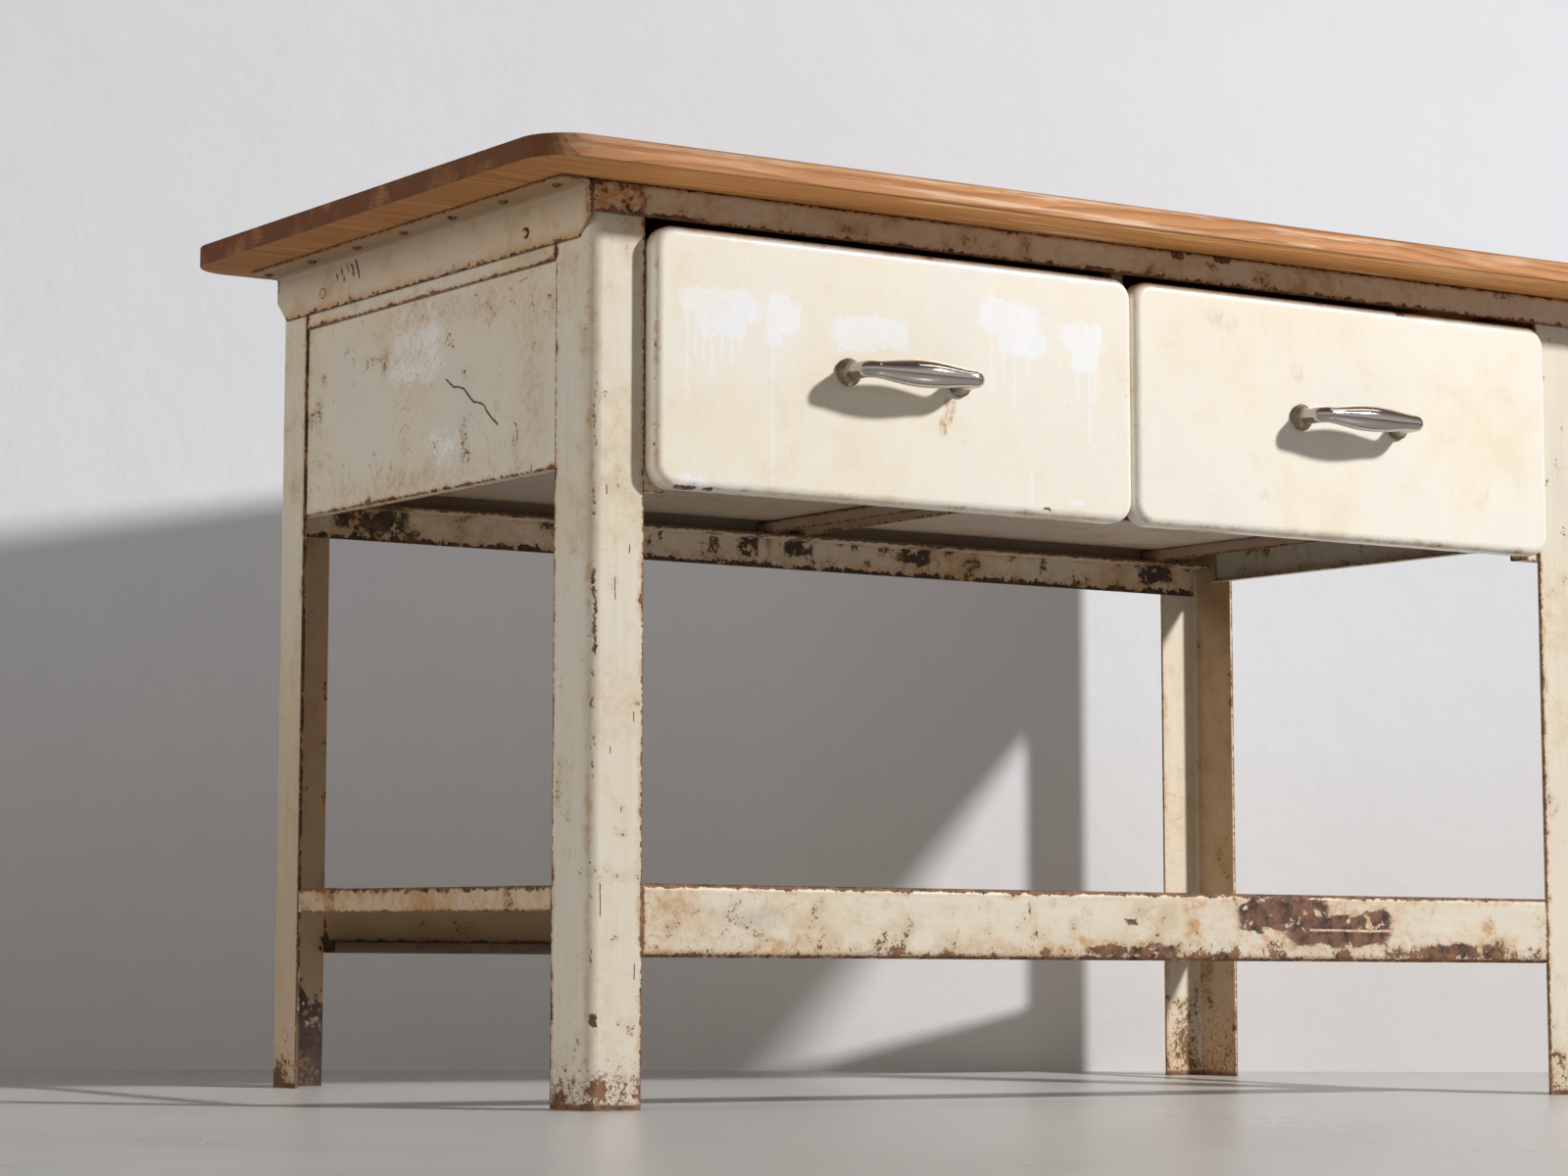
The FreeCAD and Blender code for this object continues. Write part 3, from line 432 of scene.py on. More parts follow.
class Finish(Tree):
    """The material of one node under way: its nodes, its shader and its place on the piece, in metres."""

    def __init__(self, kind, node="", stretch=(1.0, 1.0, 1.0)):
        self.node = node
        self.made = bpy.data.materials.new("_".join(filter(None, (kind, node))))
        self.made.use_nodes = True
        super().__init__(self.made.node_tree)
        self.shader = self.tree.nodes["Principled BSDF"]
        self.place = self.add("TexCoord").outputs["Object"]
        self.stretch = stretch
        self.offset = None

    def along(self, axis):
        """The place along one axis."""
        return self.parts(self.place)[axis]

    def facing(self, axis):
        """How far the surface faces along one axis, from -1 to 1."""
        return self.parts(self.add("NewGeometry").outputs["Normal"])[axis]

    def under(self):
        """Mask of faces that look down."""
        return self.fade(self.times(self.facing(Z), -1.0), 0.3, 0.8)

    def front(self):
        """Front face of the node, in mm."""
        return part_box(self.node)[0].y / MM

    def edge(self):
        """Distance to the edges of the node's box."""
        low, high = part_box(self.node)
        return self.use(edge_distance(), Place=self.place, Low=low, High=high)["Distance"]

    def ragged(self):
        """The uneven offset that all marks of this material share."""
        if self.offset is None:
            stretched = self.vector("MULTIPLY", self.place, self.stretch)
            self.offset = self.use(uneven_offset(), Place=stretched)["Offset"]
        return self.offset

    def patch(self, centre, reach, ragged=10.0, soft=0.12):
        """Mask of a patch, in mm."""
        return self.use(ragged_patch(), Place=self.place, Offset=self.ragged(), Centre=Vector(centre) * MM,
                        Reach=Vector(reach) * MM, Ragged=ragged * MM, Soft=soft)["Mask"]

    def front_patches(self, marks, ragged, soft=0.12, depth=9.0):
        """Mask of patches on the front face, each given as from, to, low and high."""
        return self.most(*[self.patch(((left + right) / 2, self.front(), (low + high) / 2),
                                      ((right - left) / 2, depth, (high - low) / 2), ragged, soft)
                           for left, right, low, high in marks])

    def side_patches(self, face, marks, ragged, soft=0.12, depth=9.0):
        """Mask of patches on a left face, each given as front, back, low and high."""
        return self.most(*[self.patch((face, (front + back) / 2, (low + high) / 2),
                                      (depth, (back - front) / 2, (high - low) / 2), ragged, soft)
                           for front, back, low, high in marks])

    def stroke(self, start, end, width, ragged=2.0, gaps=0.0):
        """Mask of a scratch, drip or worn line, in mm."""
        return self.use(ragged_stroke(), Place=self.place, Offset=self.ragged(), Start=Vector(start) * MM,
                        End=Vector(end) * MM, Width=width * MM, Ragged=ragged * MM, Gaps=gaps)["Mask"]

    def wear(self, reach, ragged):
        """Mask of wear up from the lower edge, or down from the upper one by a reach below zero, in mm."""
        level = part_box(self.node)[reach < 0.0].z / MM
        uneven = self.less(self.noise(self.place, 85.0, 5.0, 0.7), 0.5)
        shaken = self.line(uneven, ragged * MM, self.along(Z))
        return self.fade(shaken, (level + reach) * MM, (level + 0.8 * reach) * MM)

    def flakes(self, scale, detail, roughness, start, stop):
        """Mask of scattered flakes: noise cut off between two values."""
        return self.fade(self.noise(self.place, scale, detail, roughness), start, stop)

    def browned_and_shaded(self, share):
        """Cream paint turned towards grime brown by a share from 0 to 1, for dirt and, on some pieces, as
        painted shade.
        """
        return self.mix(share, opaque(settings().paint.cream), opaque(settings().paint.grime))

    def surface(self, colour, roughness, metallic=0.0, height=0.0, depth=0.0003, shine=0.5):
        """Feed the shader."""
        bump = self.add("Bump", Height=height, Distance=depth).outputs["Normal"]
        for socket, value in (("Base Color", colour), ("Roughness", roughness), ("Metallic", metallic),
                              ("Specular IOR Level", shine), ("Normal", bump)):
            self.put(self.shader.inputs[socket], value)

    def on(self, *nodes):
        """Put the material on its own CAD node, or on others."""
        for node in nodes or (self.node,):
            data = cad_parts[node].data
            data.materials.clear()
            data.materials.append(self.made)

    def paint(self, colour, brush=UPRIGHT, streak=0.2, dirt=0.3, scuff=0.4, freckle=0.16, chip=None,
              rim=0.4, decay=0.0, stain=0.0, bare=0.0, gloss=0.38, rust=None):
        """Old paint, put on the node. Chip and rim are in mm, rust is the paler colour of bare patches."""
        colours = settings().paint
        coat = self.use(
            old_paint(), Place=self.place, Edge=self.edge(), Paint=colour, Grime=opaque(colours.grime),
            Rust_Stain=opaque(colours.rust_stain), Rust_Light=rust or opaque(colours.rust_light),
            Rust_Dark=opaque(colours.rust_dark), Brush=brush, Streak=streak, Dirt=dirt, Scuff=scuff,
            Freckle=freckle, Chip=colours.chip_reach if chip is None else chip * MM, Rim=rim * MM,
            Decay=decay, Stain=stain, Bare=bare, Gloss=gloss)
        self.surface(coat["Colour"], coat["Roughness"], height=coat["Height"])
        self.on()


# Frame


LEG_CORNER = -567.0
CORNER_INSET = 2.0
CORNER_SCRATCHES = ((652, 118, 1.5, 16.0, 0.54), (470, 372, 2.4, 18.0, 0.5))
CORNER_NICK = ((-572, 204), (-561, 203))
CORNER_SPOT_HEIGHT, CORNER_SPOT_REACH = 74.0, (3.0, 6.0, 6.0)
HOLE_PLACE, HOLE_RUST_REACH = (-548.0, 304.0, 84.0), (9.0, 12.0, 17.0)
LEG_DASHES = ((-547, 442, 424), (-528, 330, 322), (-540, 250, 246), (-551, 300, 295), (-533, 470, 464),
              (-560, 186, 160), (-526, 120, 108), (-556, 520, 512))
LEG_STAINS = ((-550, -518, 5, 35), (-548, -516, 739, 757))
LEG_BARE = ((-568, -516, -10, 26),)
LEG_TINTS = ((-574, -538, 318, 376), (-574, -550, 36, 124), (-548, -520, 556, 606))
FOOT_REACH = {"leg_back_right": 0.2}
LEG_FRECKLE = {"leg_front_left": 0.2, "leg_front_right": 0.25}
BLACK_RUST = (0.07, 0.043, 0.028, 1.0)


def paint_leg(node):
    """Leg: worn free edges, a rusty foot and, at the front left, a long scratch down the corner."""
    coat = Finish("paint", node)
    height = coat.along(Z)
    foot = coat.fade(height, FOOT_REACH.get(node, 0.1), 0.0)
    bare = [coat.fade(height, 0.0065, 0.003)]
    stain = 0.0
    if node == "leg_front_left":
        face = coat.front()
        depth = face + CORNER_INSET
        bare += [coat.stroke((LEG_CORNER, depth, top), (LEG_CORNER, depth, bottom), *stroke)
                 for top, bottom, *stroke in CORNER_SCRATCHES]
        bare.append(coat.stroke(*[(x, depth, z) for x, z in CORNER_NICK], 0.9, 3.0))
        bare.append(coat.patch((LEG_CORNER, depth, CORNER_SPOT_HEIGHT), CORNER_SPOT_REACH, 26.0))
        bare += [coat.stroke((x, face, top), (x, face, bottom), 0.8, 3.0) for x, top, bottom in LEG_DASHES]
        foot_bare = coat.front_patches(LEG_BARE, 36.0, 0.5)
        specks = coat.flakes(240.0, 4.0, 0.65, 0.52, 0.57)
        bare.append(coat.times(foot_bare, specks))
        stains = coat.front_patches(LEG_STAINS, 30.0, 0.5)
        tints = coat.front_patches(LEG_TINTS, 50.0, 0.9)
        stain = coat.most(coat.times(stains, 0.5), coat.times(tints, 0.3))
    low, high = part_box(node)
    # Inner faces are browned for dirt, and on the left legs, whose inner faces lie in shade, as painted
    # shade too.
    inward = [coat.times(coat.facing(axis), -math.copysign(1.0, low[axis] + high[axis]))
              for axis in ((X, Y) if node.endswith("left") else (X,))]
    inside = coat.fade(coat.most(*inward), 0.3, 0.7)
    grime_and_shade, rust = (0.12 if node == "leg_back_right" else 0.0), None
    # The back left leg is also darkened towards the bottom and given black rust low on its inner faces: rust
    # with painted shade.
    if node == "leg_back_left":
        flaked = coat.flakes(34.0, 6.0, 0.7, 0.44, 0.52)
        free_edge = coat.fade(coat.along(Y), low.y + 0.003, low.y + 0.001)
        bare += [coat.patch(HOLE_PLACE, HOLE_RUST_REACH, 44.0),
                 coat.times(free_edge, flaked),
                 coat.times(inside, coat.wear(80.0, 170.0))]
        grime_and_shade = coat.fade(height, 0.62, 0.08, 0.08, 0.64)
        rust = BLACK_RUST
    brown = coat.browned_and_shaded(coat.most(coat.times(inside, 0.8), grime_and_shade))
    coat.paint(brown, dirt=coat.line(inside, 0.3, 0.3), rim=1.0, freckle=LEG_FRECKLE.get(node, 0.16),
               decay=coat.most(foot, coat.times(inside, 0.35)), stain=stain, bare=coat.most(*bare),
               rust=rust)


def paint_plain(node, brush=UPRIGHT, brown=0.0, worn=None, **age):
    """A painted piece with no marks but a bare band along one edge, given as reach, raggedness and share.
    The band is wear, except on the back stretcher, where it is painted shade.
    """
    coat = Finish("paint", node)
    if worn:
        reach, ragged, share = worn
        age["bare"] = coat.times(coat.wear(reach, ragged), share)
    coat.paint(coat.browned_and_shaded(brown), brush, **age)


RAIL_RUST = ((-580, -520, 748, 784),)
RAIL_CHIPS = ((-514, -464, 750, 756), (-42, -12, 750, 756), (105, 125, 772, 780), (55, 70, 772, 780))


def paint_front_rail():
    """Upper front rail: brown with grime, chipped along both edges, rusted through at the left."""
    coat = Finish("paint", "rail_front")
    rust = coat.front_patches(RAIL_RUST, 16.0, 0.2, 40.0)
    chips = coat.front_patches(RAIL_CHIPS, 12.0)
    flakes = coat.flakes(70.0, 5.0, 0.7, 0.5, 0.58)
    decay = coat.line(rust, 0.4, 0.25)
    edges = coat.wear(1.2, 26.0), coat.wear(-1.0, 20.0)
    bare = coat.most(chips, *edges, coat.times(rust, flakes))
    coat.paint(coat.browned_and_shaded(0.22), LENGTHWISE, dirt=0.9, scuff=0.8, freckle=0.22, chip=1.0, rim=1.2,
               decay=decay, stain=coat.line(rust, 1.3, 0.25), bare=bare)


STRETCHER_BARE = ((128, 240, 154, 184), (185, 318, 140, 172), (352, 452, 128, 143), (-48, 56, 127, 138),
                  (92, 132, 126, 134), (-2, 10, 156, 163), (250, 264, 126, 136))
STRETCHER_STAINS = ((-514, -470, 150, 188), (66, 90, 140, 186), (-430, -350, 126, 140), (-150, 60, 126, 142),
                    (330, 470, 126, 150), (120, 325, 134, 187), (-516, -490, 126, 140), (425, 445, 152, 166))
STRETCHER_SMUDGE = ((-431, -376, 153, 165),)
STRETCHER_SCRATCH = ((216, 155), (315, 155))
BLUE_GREY = (0.42, 0.45, 0.47, 1.0)


def paint_front_stretcher():
    """Front stretcher: large bare patches, a worn top edge and orange stains along the bottom."""
    coat = Finish("paint", "stretcher_front", (0.6, 1.0, 1.3))
    islands = coat.flakes(85.0, 5.0, 0.66, 0.585, 0.635)
    scratch = coat.stroke(*[(x, coat.front(), z) for x, z in STRETCHER_SCRATCH], 1.6, 3.0, 0.3)
    kept = coat.less(1.0, coat.most(islands, scratch))
    bare = [coat.times(coat.front_patches(STRETCHER_BARE, 40.0, 0.08), kept)]
    bare += [coat.wear(-3.5, 14.0), coat.wear(2.0, 24.0)]
    stains = coat.most(scratch, coat.front_patches(STRETCHER_STAINS, 50.0, 0.6))
    smudge = coat.front_patches(STRETCHER_SMUDGE, 30.0, 0.6)
    cream = coat.mix(coat.times(smudge, 0.4), opaque(settings().paint.cream), BLUE_GREY)
    bottom = coat.fade(coat.along(Z), 0.16, 0.128, 0.15, 0.8)
    coat.paint(cream, LENGTHWISE, dirt=0.4, scuff=0.7, freckle=0.2, chip=1.5, rim=2.3, decay=bottom,
               stain=coat.times(stains, 0.8), bare=coat.most(*bare))


PANEL_FACE = -571.0
PANEL_REPAINT = ((-12, 85, 640, 705), (-40, 20, 570, 590))
PANEL_SCRATCH = ((-19, 638), (-32, 630), (-50, 626), (-68, 612), (-86, 608), (-93, 600), (-111, 587))
PANEL_RUST = ((-190, -150, 560, 690), (-120, 120, 690, 712), (-60, 200, 545, 560))


def paint_panel(node, sign):
    """End panel: fine rusty scuffs and, at the left, pale repaired patches and a long black scratch."""
    coat = Finish("paint", node)
    colours = settings().paint
    cream, bare, stain = opaque(colours.cream), 0.0, 0.0
    if sign < 0:
        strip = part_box("strip_left")[0].x / MM
        repaint = coat.side_patches(strip, PANEL_REPAINT, 70.0, 0.3)
        cream = coat.mix(coat.times(repaint, 0.6), cream, opaque(colours.touch_up))
        bare = coat.most(*[coat.stroke((PANEL_FACE, *start), (PANEL_FACE, *end), 1.5, 5.0)
                           for start, end in zip(PANEL_SCRATCH, PANEL_SCRATCH[1:])])
        rust = coat.side_patches(strip, PANEL_RUST, 40.0, 0.8)
        stain = coat.times(rust, 0.45)
    inside = coat.fade(coat.times(coat.facing(X), -sign), 0.3, 0.7)
    coat.paint(cream, UPRIGHT, streak=0.05, dirt=coat.line(inside, 0.4, 0.2), scuff=1.0, freckle=0.22,
               chip=0.4, rim=1.2, decay=coat.line(inside, 0.2, 0.12), stain=stain, bare=bare)


APRON_FACE = -577.0
APRON_SCRATCHES = (((183, 762), (178, 750)), ((174, 767), (170, 754)), ((165, 769), (160, 762)),
                   ((155, 767), (150, 757)), ((147, 769), (139, 754)))


def paint_apron(node, sign):
    """Apron: rusty front end and lower edge and, at the left, a few black scratches. Its down-facing flange
    and the web under the fold are browned as painted shade.
    """
    coat = Finish("paint", node)
    low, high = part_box(node)
    front_end = coat.fade(coat.along(Y), low.y + 0.016, low.y + 0.004)
    lower_edge = coat.fade(coat.along(Z), low.z + 0.012, low.z)
    bare = [coat.wear(0.8, 16.0)]
    if sign < 0:
        bare += [coat.stroke((APRON_FACE, *start), (APRON_FACE, *end), 2.4, 14.0, 0.42)
                 for start, end in APRON_SCRATCHES]
    # Browned a little all over for dirt, and much more on the down-facing flange and just under the fold as
    # painted shade.
    fold_shade = coat.fade(coat.along(Z), high.z - 0.014, high.z - 0.002, 0.4, 0.7)
    brown = coat.most(coat.line(coat.under(), 0.43, 0.4), fold_shade)
    coat.paint(coat.browned_and_shaded(brown), CROSSWISE, streak=0.05, dirt=0.45, scuff=0.7, chip=0.8, rim=1.4,
               decay=coat.most(front_end, coat.times(lower_edge, 0.7)),
               stain=coat.times(coat.most(front_end, lower_edge), 0.7), bare=coat.most(*bare))


BACK_RAIL_RUST = ((-510, -433, 530, 558),)
BACK_RAIL_RUNS = ((-46, -40, 526, 557), (-30, -22, 528, 557), (-12, -4, 530, 557), (190, 225, 530, 550),
                  (480, 545, 526, 557))
BACK_RAIL_BARE = ((-515, -435, 532, 557), (11, 49, 540, 556), (162, 201, 538, 556), (-44, -20, 534, 557),
                  (480, 530, 536, 556))


def paint_back_lower_rail():
    """Lower back rail: rusty, with bare patches on the side that shows under the drawers."""
    node = "lower_rail_back"
    coat = Finish("paint", node)
    rust = coat.front_patches(BACK_RAIL_RUST, 26.0, 0.5, 60.0)
    bare = coat.front_patches(BACK_RAIL_BARE, 34.0, 0.12, 60.0)
    flakes = coat.flakes(60.0, 5.0, 0.68, 0.42, 0.48)
    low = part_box(node)[0]
    line = coat.wear(4.5, 30.0)
    runs = coat.most(rust, coat.front_patches(BACK_RAIL_RUNS, 24.0, 0.5, 60.0))
    orange = coat.fade(coat.along(Z), low.z + 0.018, low.z + 0.002, 0.2, 0.9)
    coat.paint(coat.browned_and_shaded(0.1), LENGTHWISE, dirt=0.6, scuff=0.9, freckle=0.26, chip=0.9, rim=2.0,
               decay=coat.line(rust, 0.4, 0.4), stain=coat.most(runs, orange),
               bare=coat.most(line, coat.times(bare, flakes)), rust=BLACK_RUST)


GAP_RUST_HEIGHT, GAP_RUST_REACH = 530.0, (14.0, 12.0, 14.0)


def paint_front_lower_rail():
    """Lower front rail: rusty where it shows between the drawers."""
    coat = Finish("paint", "lower_rail_front")
    rust = coat.patch((0.0, coat.front(), GAP_RUST_HEIGHT), GAP_RUST_REACH, 8.0)
    coat.paint(opaque(settings().paint.cream), LENGTHWISE, dirt=0.5, chip=0.8, decay=0.2, bare=rust)


class WORKTABLE_OT_paint_frame(Operator):
    """Paint legs, rails, panels, aprons and stretchers in old cream paint"""

    bl_idname = "worktable.paint_frame"
    bl_label = "Paint Frame"

    def execute(self, context):
        for depth in ("front", "back"):
            for side in ("left", "right"):
                paint_leg(f"leg_{depth}_{side}")
        for side, sign in (("left", -1), ("right", 1)):
            paint_panel("panel_" + side, sign)
            paint_apron("apron_" + side, sign)
            paint_plain("strip_" + side, CROSSWISE, 0.12, dirt=0.35, scuff=0.6, chip=0.6, rim=1.2, decay=0.2)
            paint_plain("stretcher_" + side, CROSSWISE, 0.4, (-3.0, 24.0, 1.0), dirt=1.0, scuff=0.7,
                        freckle=0.13, chip=-1.5, rim=1.4, decay=0.6, stain=0.55)
            paint_plain("lug_" + side, chip=0.6, dirt=0.5)
            paint_plain("rivets_" + side, chip=2.2, dirt=0.4, decay=0.3)
        paint_front_rail()
        paint_front_stretcher()
        paint_back_lower_rail()
        paint_plain("rail_back", LENGTHWISE, dirt=0.5, chip=0.6)
        paint_front_lower_rail()
        # Back stretcher: browned almost through for dirt and painted shade; the dark band along its lower
        # lip is painted shade.
        paint_plain("stretcher_back", LENGTHWISE, 0.97, (14.0, 12.0, 0.9), dirt=0.8, chip=1.0, rim=0.8,
                    decay=0.3, rust=BLACK_RUST)
        return {"FINISHED"}


# Top


class WORKTABLE_OT_finish_top(Operator):
    """Give the boards of the top their pine grain"""

    bl_idname = "worktable.finish_top"
    bl_label = "Finish Top"

    HEART_DEPTH = 0.07
    HEART_STEP = 0.037
    CLEANER = (1.33, 1.34, 1.1)

    def execute(self, context):
        colours = settings().top
        for number in range(1, 6):
            node = f"top_board_{number}"
            low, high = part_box(node)
            coat = Finish("pine", node)
            end = coat.fade(coat.math("ABSOLUTE", coat.facing(X)), 0.25, 0.85)
            worn = coat.times(coat.fade(coat.edge(), 0.0026, 0.0006), 0.6)
            outwards = coat.math("ABSOLUTE", coat.along(X))
            near_end = coat.fade(outwards, high.x - 0.16, high.x - 0.01, 0.0, 0.45)
            middle = (low.y + high.y) / 2
            heart = 0.0, middle + self.HEART_STEP * (number % 3 - 1), low.z - self.HEART_DEPTH
            # The pale streaks are made stronger towards the middle of the boards, as painted sheen.
            grain = coat.use(pine_grain(), Place=coat.place, Heart=heart, Ring=colours.ring_width,
                             Light=opaque(colours.pine_light), Dark=opaque(colours.pine_dark),
                             Pale=opaque(colours.pine_worn_sheen), End=opaque(colours.end_grain),
                             Dirty=coat.most(end, worn, near_end),
                             Rubbed=coat.fade(outwards, 0.45, 0.15, 0.5, 1.0))
            clean = coat.vector("MULTIPLY", grain["Colour"], self.CLEANER)
            colour = coat.mix(coat.under(), grain["Colour"], clean)
            coat.surface(colour, grain["Roughness"], height=grain["Height"], depth=0.0004, shine=0.1)
            coat.on()
        return {"FINISHED"}


# Drawers


TOUCH_UPS = ((-496, -412, 668, 694), (-480, -430, 652, 672), (-408, -372, 660, 692), (-404, -390, 648, 664),
             (-334, -255, 658, 684), (-330, -290, 650, 664), (-176, -110, 680, 714), (-160, -104, 664, 690),
             (-82, -36, 668, 698), (-74, -40, 654, 672))
DRIPS = ((-398, 660, 524), (-486, 670, 598), (-478, 660, 636), (-470, 655, 632), (-461, 655, 617),
         (-450, 655, 640), (-441, 658, 630), (-432, 660, 646), (-163, 690, 628), (-150, 670, 640),
         (-137, 668, 618), (-121, 668, 646), (-66, 660, 634), (-52, 656, 590), (-46, 660, 628),
         (-118, 558, 532))
EDGE_SPOTS = (642, 612, 574, 557)
SPOTTED_EDGE, EDGE_SPOT_REACH = -515.5, (1.2, 6.0, 2.4)
FOOT_STAINS = ((-212, 606, 12), (-217, 593, 9), (-206, 611, 6))
CORNER_CHIPS = ((-486, 521, 11, 1.2), (-462, 521, 5, 1.5), (-101, 528, 4, 1.2), (328, 743, 5, 3))
RIGHT_STAINS = ((86, 120, 707, 723), (192, 204, 668, 684), (150, 158, 552, 560))
CORNER_DABS = ((-494, -464, 523, 530), (-72, -58, 532, 538))


class WORKTABLE_OT_enamel_drawers(Operator):
    """Enamel the drawer fronts, and touch the left one up in white"""

    bl_idname = "worktable.enamel_drawers"
    bl_label = "Enamel Drawers"

    DRIP_WIDTH = 2.6

    def enamel(self, side):
        """Glossy cream on one front: dirty rims, chips and, at the left, white dabs and drips."""
        node = "drawer_front_" + side
        colours = settings().paint
        coat = Finish("enamel", node, (1.5, 1.0, 0.45))
        low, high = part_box(node)
        face = coat.front()
        cream = opaque(colours.enamel)
        chips = [coat.patch((x, face + 3.0, z), (wide, 8.0, tall), 12.0)
                 for x, z, wide, tall in CORNER_CHIPS]
        stain = coat.times(coat.front_patches(RIGHT_STAINS, 60.0, 0.6), 0.3)
        if side == "left":
            drips = coat.most(*[coat.stroke((x, face, top), (x, face, bottom), self.DRIP_WIDTH, 0.8)
                                for x, top, bottom in DRIPS])
            dabs = coat.front_patches(TOUCH_UPS + CORNER_DABS, 34.0, 0.1)
            white = coat.most(coat.times(drips, 0.7), dabs)
            cream = coat.mix(white, cream, opaque(colours.touch_up))
            runs = [coat.patch((x, face, z), (4, 9, tall), 16.0, 0.5) for x, z, tall in FOOT_STAINS]
            stain = coat.most(*runs)
            chips += [coat.patch((SPOTTED_EDGE, face + 9.0, z), EDGE_SPOT_REACH, 14.0) for z in EDGE_SPOTS]
        x, z = coat.along(X), coat.along(Z)
        inset = coat.math("MINIMUM", coat.less(x, low.x), coat.less(high.x, x))
        rim = coat.most(coat.fade(inset, 0.009, 0.001), coat.fade(z, low.z + 0.011, low.z + 0.002))
        # Paler flecks along the top edge: partly rubbed enamel, partly a painted highlight.
        wear_and_sheen = coat.times(coat.fade(z, high.z - 0.013, high.z - 0.004),
                            coat.flakes(30.0, 4.0, 0.65, 0.42, 0.5))
        cream = coat.mix(wear_and_sheen, cream, opaque(colours.touch_up))
        coat.paint(cream, UPRIGHT, streak=0.05, dirt=coat.line(rim, 0.25, 0.1), scuff=0.12, freckle=0.1,
                   chip=-1.4, rim=-0.6, decay=coat.times(rim, 0.05), stain=stain,
                   bare=coat.most(*chips), gloss=0.16)

    def execute(self, context):
        for side in ("left", "right"):
            self.enamel(side)
        return {"FINISHED"}


class WORKTABLE_OT_cast_handles(Operator):
    """Cast the bow handles, with worn chrome on the grip and brassy feet"""

    bl_idname = "worktable.cast_handles"
    bl_label = "Cast Handles"

    SLOT = "handle_chrome"
    GRIP_SHARE = 0.62
    ELBOW = 0.008
    RIM = 0.004
    FLARE = 0.006
    FOOT_RINGS = 25
    BOW_RINGS = 64
    CORNERS = 48
    FULLNESS = 1.4

    def radius(self, run, foot, rise, half):
        """Radius at a run from the nearer foot: half-round rim, flare, neck, then the swell of the grip."""
        metal = settings().metal
        neck, grip, edge = metal.neck_width / 2, metal.grip_width / 2, self.RIM / 2
        if run < self.RIM:
            return foot - edge + math.sqrt(max(edge * edge - (run - edge) ** 2, 0.0))
        if run < self.RIM + self.FLARE:
            left = 1.0 - (run - self.RIM) / self.FLARE
            return neck + (foot - edge - neck) * left * left
        swell = max(run - rise, 0.0) / (half - rise)
        return neck + (grip - neck) * math.sin(math.pi / 2 * swell) ** self.FULLNESS

    def bow(self, node):
        """Mesh of a bow that stands on the two feet of a CAD handle."""
        low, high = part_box(node)
        foot = (high.z - low.z) / 2
        pitch = high.x - low.x - 2 * foot
        reach = settings().metal.handle_reach
        neck_run, arc = reach - self.ELBOW, self.ELBOW * math.pi / 2
        rise = neck_run + arc
        half = rise + pitch / 2 - self.ELBOW
        base = self.RIM + self.FLARE
        runs = [base * i / self.FOOT_RINGS for i in range(self.FOOT_RINGS)]
        runs += [base + (half - base) * i / self.BOW_RINGS for i in range(self.BOW_RINGS + 1)]
        angles = [2 * math.pi * i / self.CORNERS for i in range(self.CORNERS)]
        corners = [(math.cos(angle), math.sin(angle)) for angle in angles]
        shape = bmesh.new()
        rings = []
        for far in (False, True):
            for run in reversed(runs[:-1]) if far else runs:
                turn = min(max(run - neck_run, 0.0) / self.ELBOW, math.pi / 2)
                beside = self.ELBOW * (1.0 - math.cos(turn)) + max(run - rise, 0.0)
                ahead = min(run, neck_run) + self.ELBOW * math.sin(turn)
                side = -1.0 if far else 1.0
                start = high.x - foot if far else low.x + foot
                centre = Vector((start + side * beside, high.y - ahead, (low.z + high.z) / 2))
                across = Vector((side * math.cos(turn), math.sin(turn), 0.0))
                wide = self.radius(run, foot, rise, half)
                rings.append([shape.verts.new(centre + wide * (c * across + s * UP)) for c, s in corners])
        for ring, following in zip(rings, rings[1:]):
            for i in range(self.CORNERS):
                shape.faces.new((ring[i - 1], ring[i], following[i], following[i - 1]))
        shape.faces.new(rings[0])
        shape.faces.new(rings[-1])
        bmesh.ops.recalc_face_normals(shape, faces=shape.faces)
        data = bpy.data.meshes.new("bow_" + node)
        shape.to_mesh(data)
        shape.free()
        data.shade_smooth()
        return data

    def plate(self, node):
        """Chrome, worn to brass near the feet and rusty where they meet the drawer."""
        colours, paints = settings().metal, settings().paint
        low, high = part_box(node)
        coat = Finish("chrome", node)
        y = coat.along(Y)
        worn = coat.fade(y, low.y + (high.y - low.y) * self.GRIP_SHARE, high.y - 0.006)
        scuffs = coat.noise(coat.place, 160.0, 4.0, 0.6)
        tarnish = coat.times(worn, coat.fade(scuffs, 0.3, 0.55, 0.5, 1.0))
        metal = coat.mix(tarnish, opaque(colours.chrome), opaque(colours.brass))
        rim = coat.times(coat.fade(y, high.y - 0.006, high.y - 0.001),
                         coat.fade(scuffs, 0.42, 0.55, 0.25, 1.0))
        metal = coat.mix(rim, metal, opaque(paints.rust_dark))
        dulled = coat.line(tarnish, 0.3, 0.04)
        roughness = coat.line(scuffs, 0.08, dulled)
        metallic = coat.less(1.0, coat.times(rim, 0.8))
        coat.surface(metal, roughness, metallic, scuffs, 0.0001)
        return coat.made

    def execute(self, context):
        for side in ("left", "right"):
            node = "handle_" + side
            data = self.bow(node)
            data.materials.append(self.plate(node))
            piece = new_object("bow_" + node, data)
            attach(piece, "drawer_" + side)
            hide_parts(node)
        return {"FINISHED"}


# Inside and fasteners


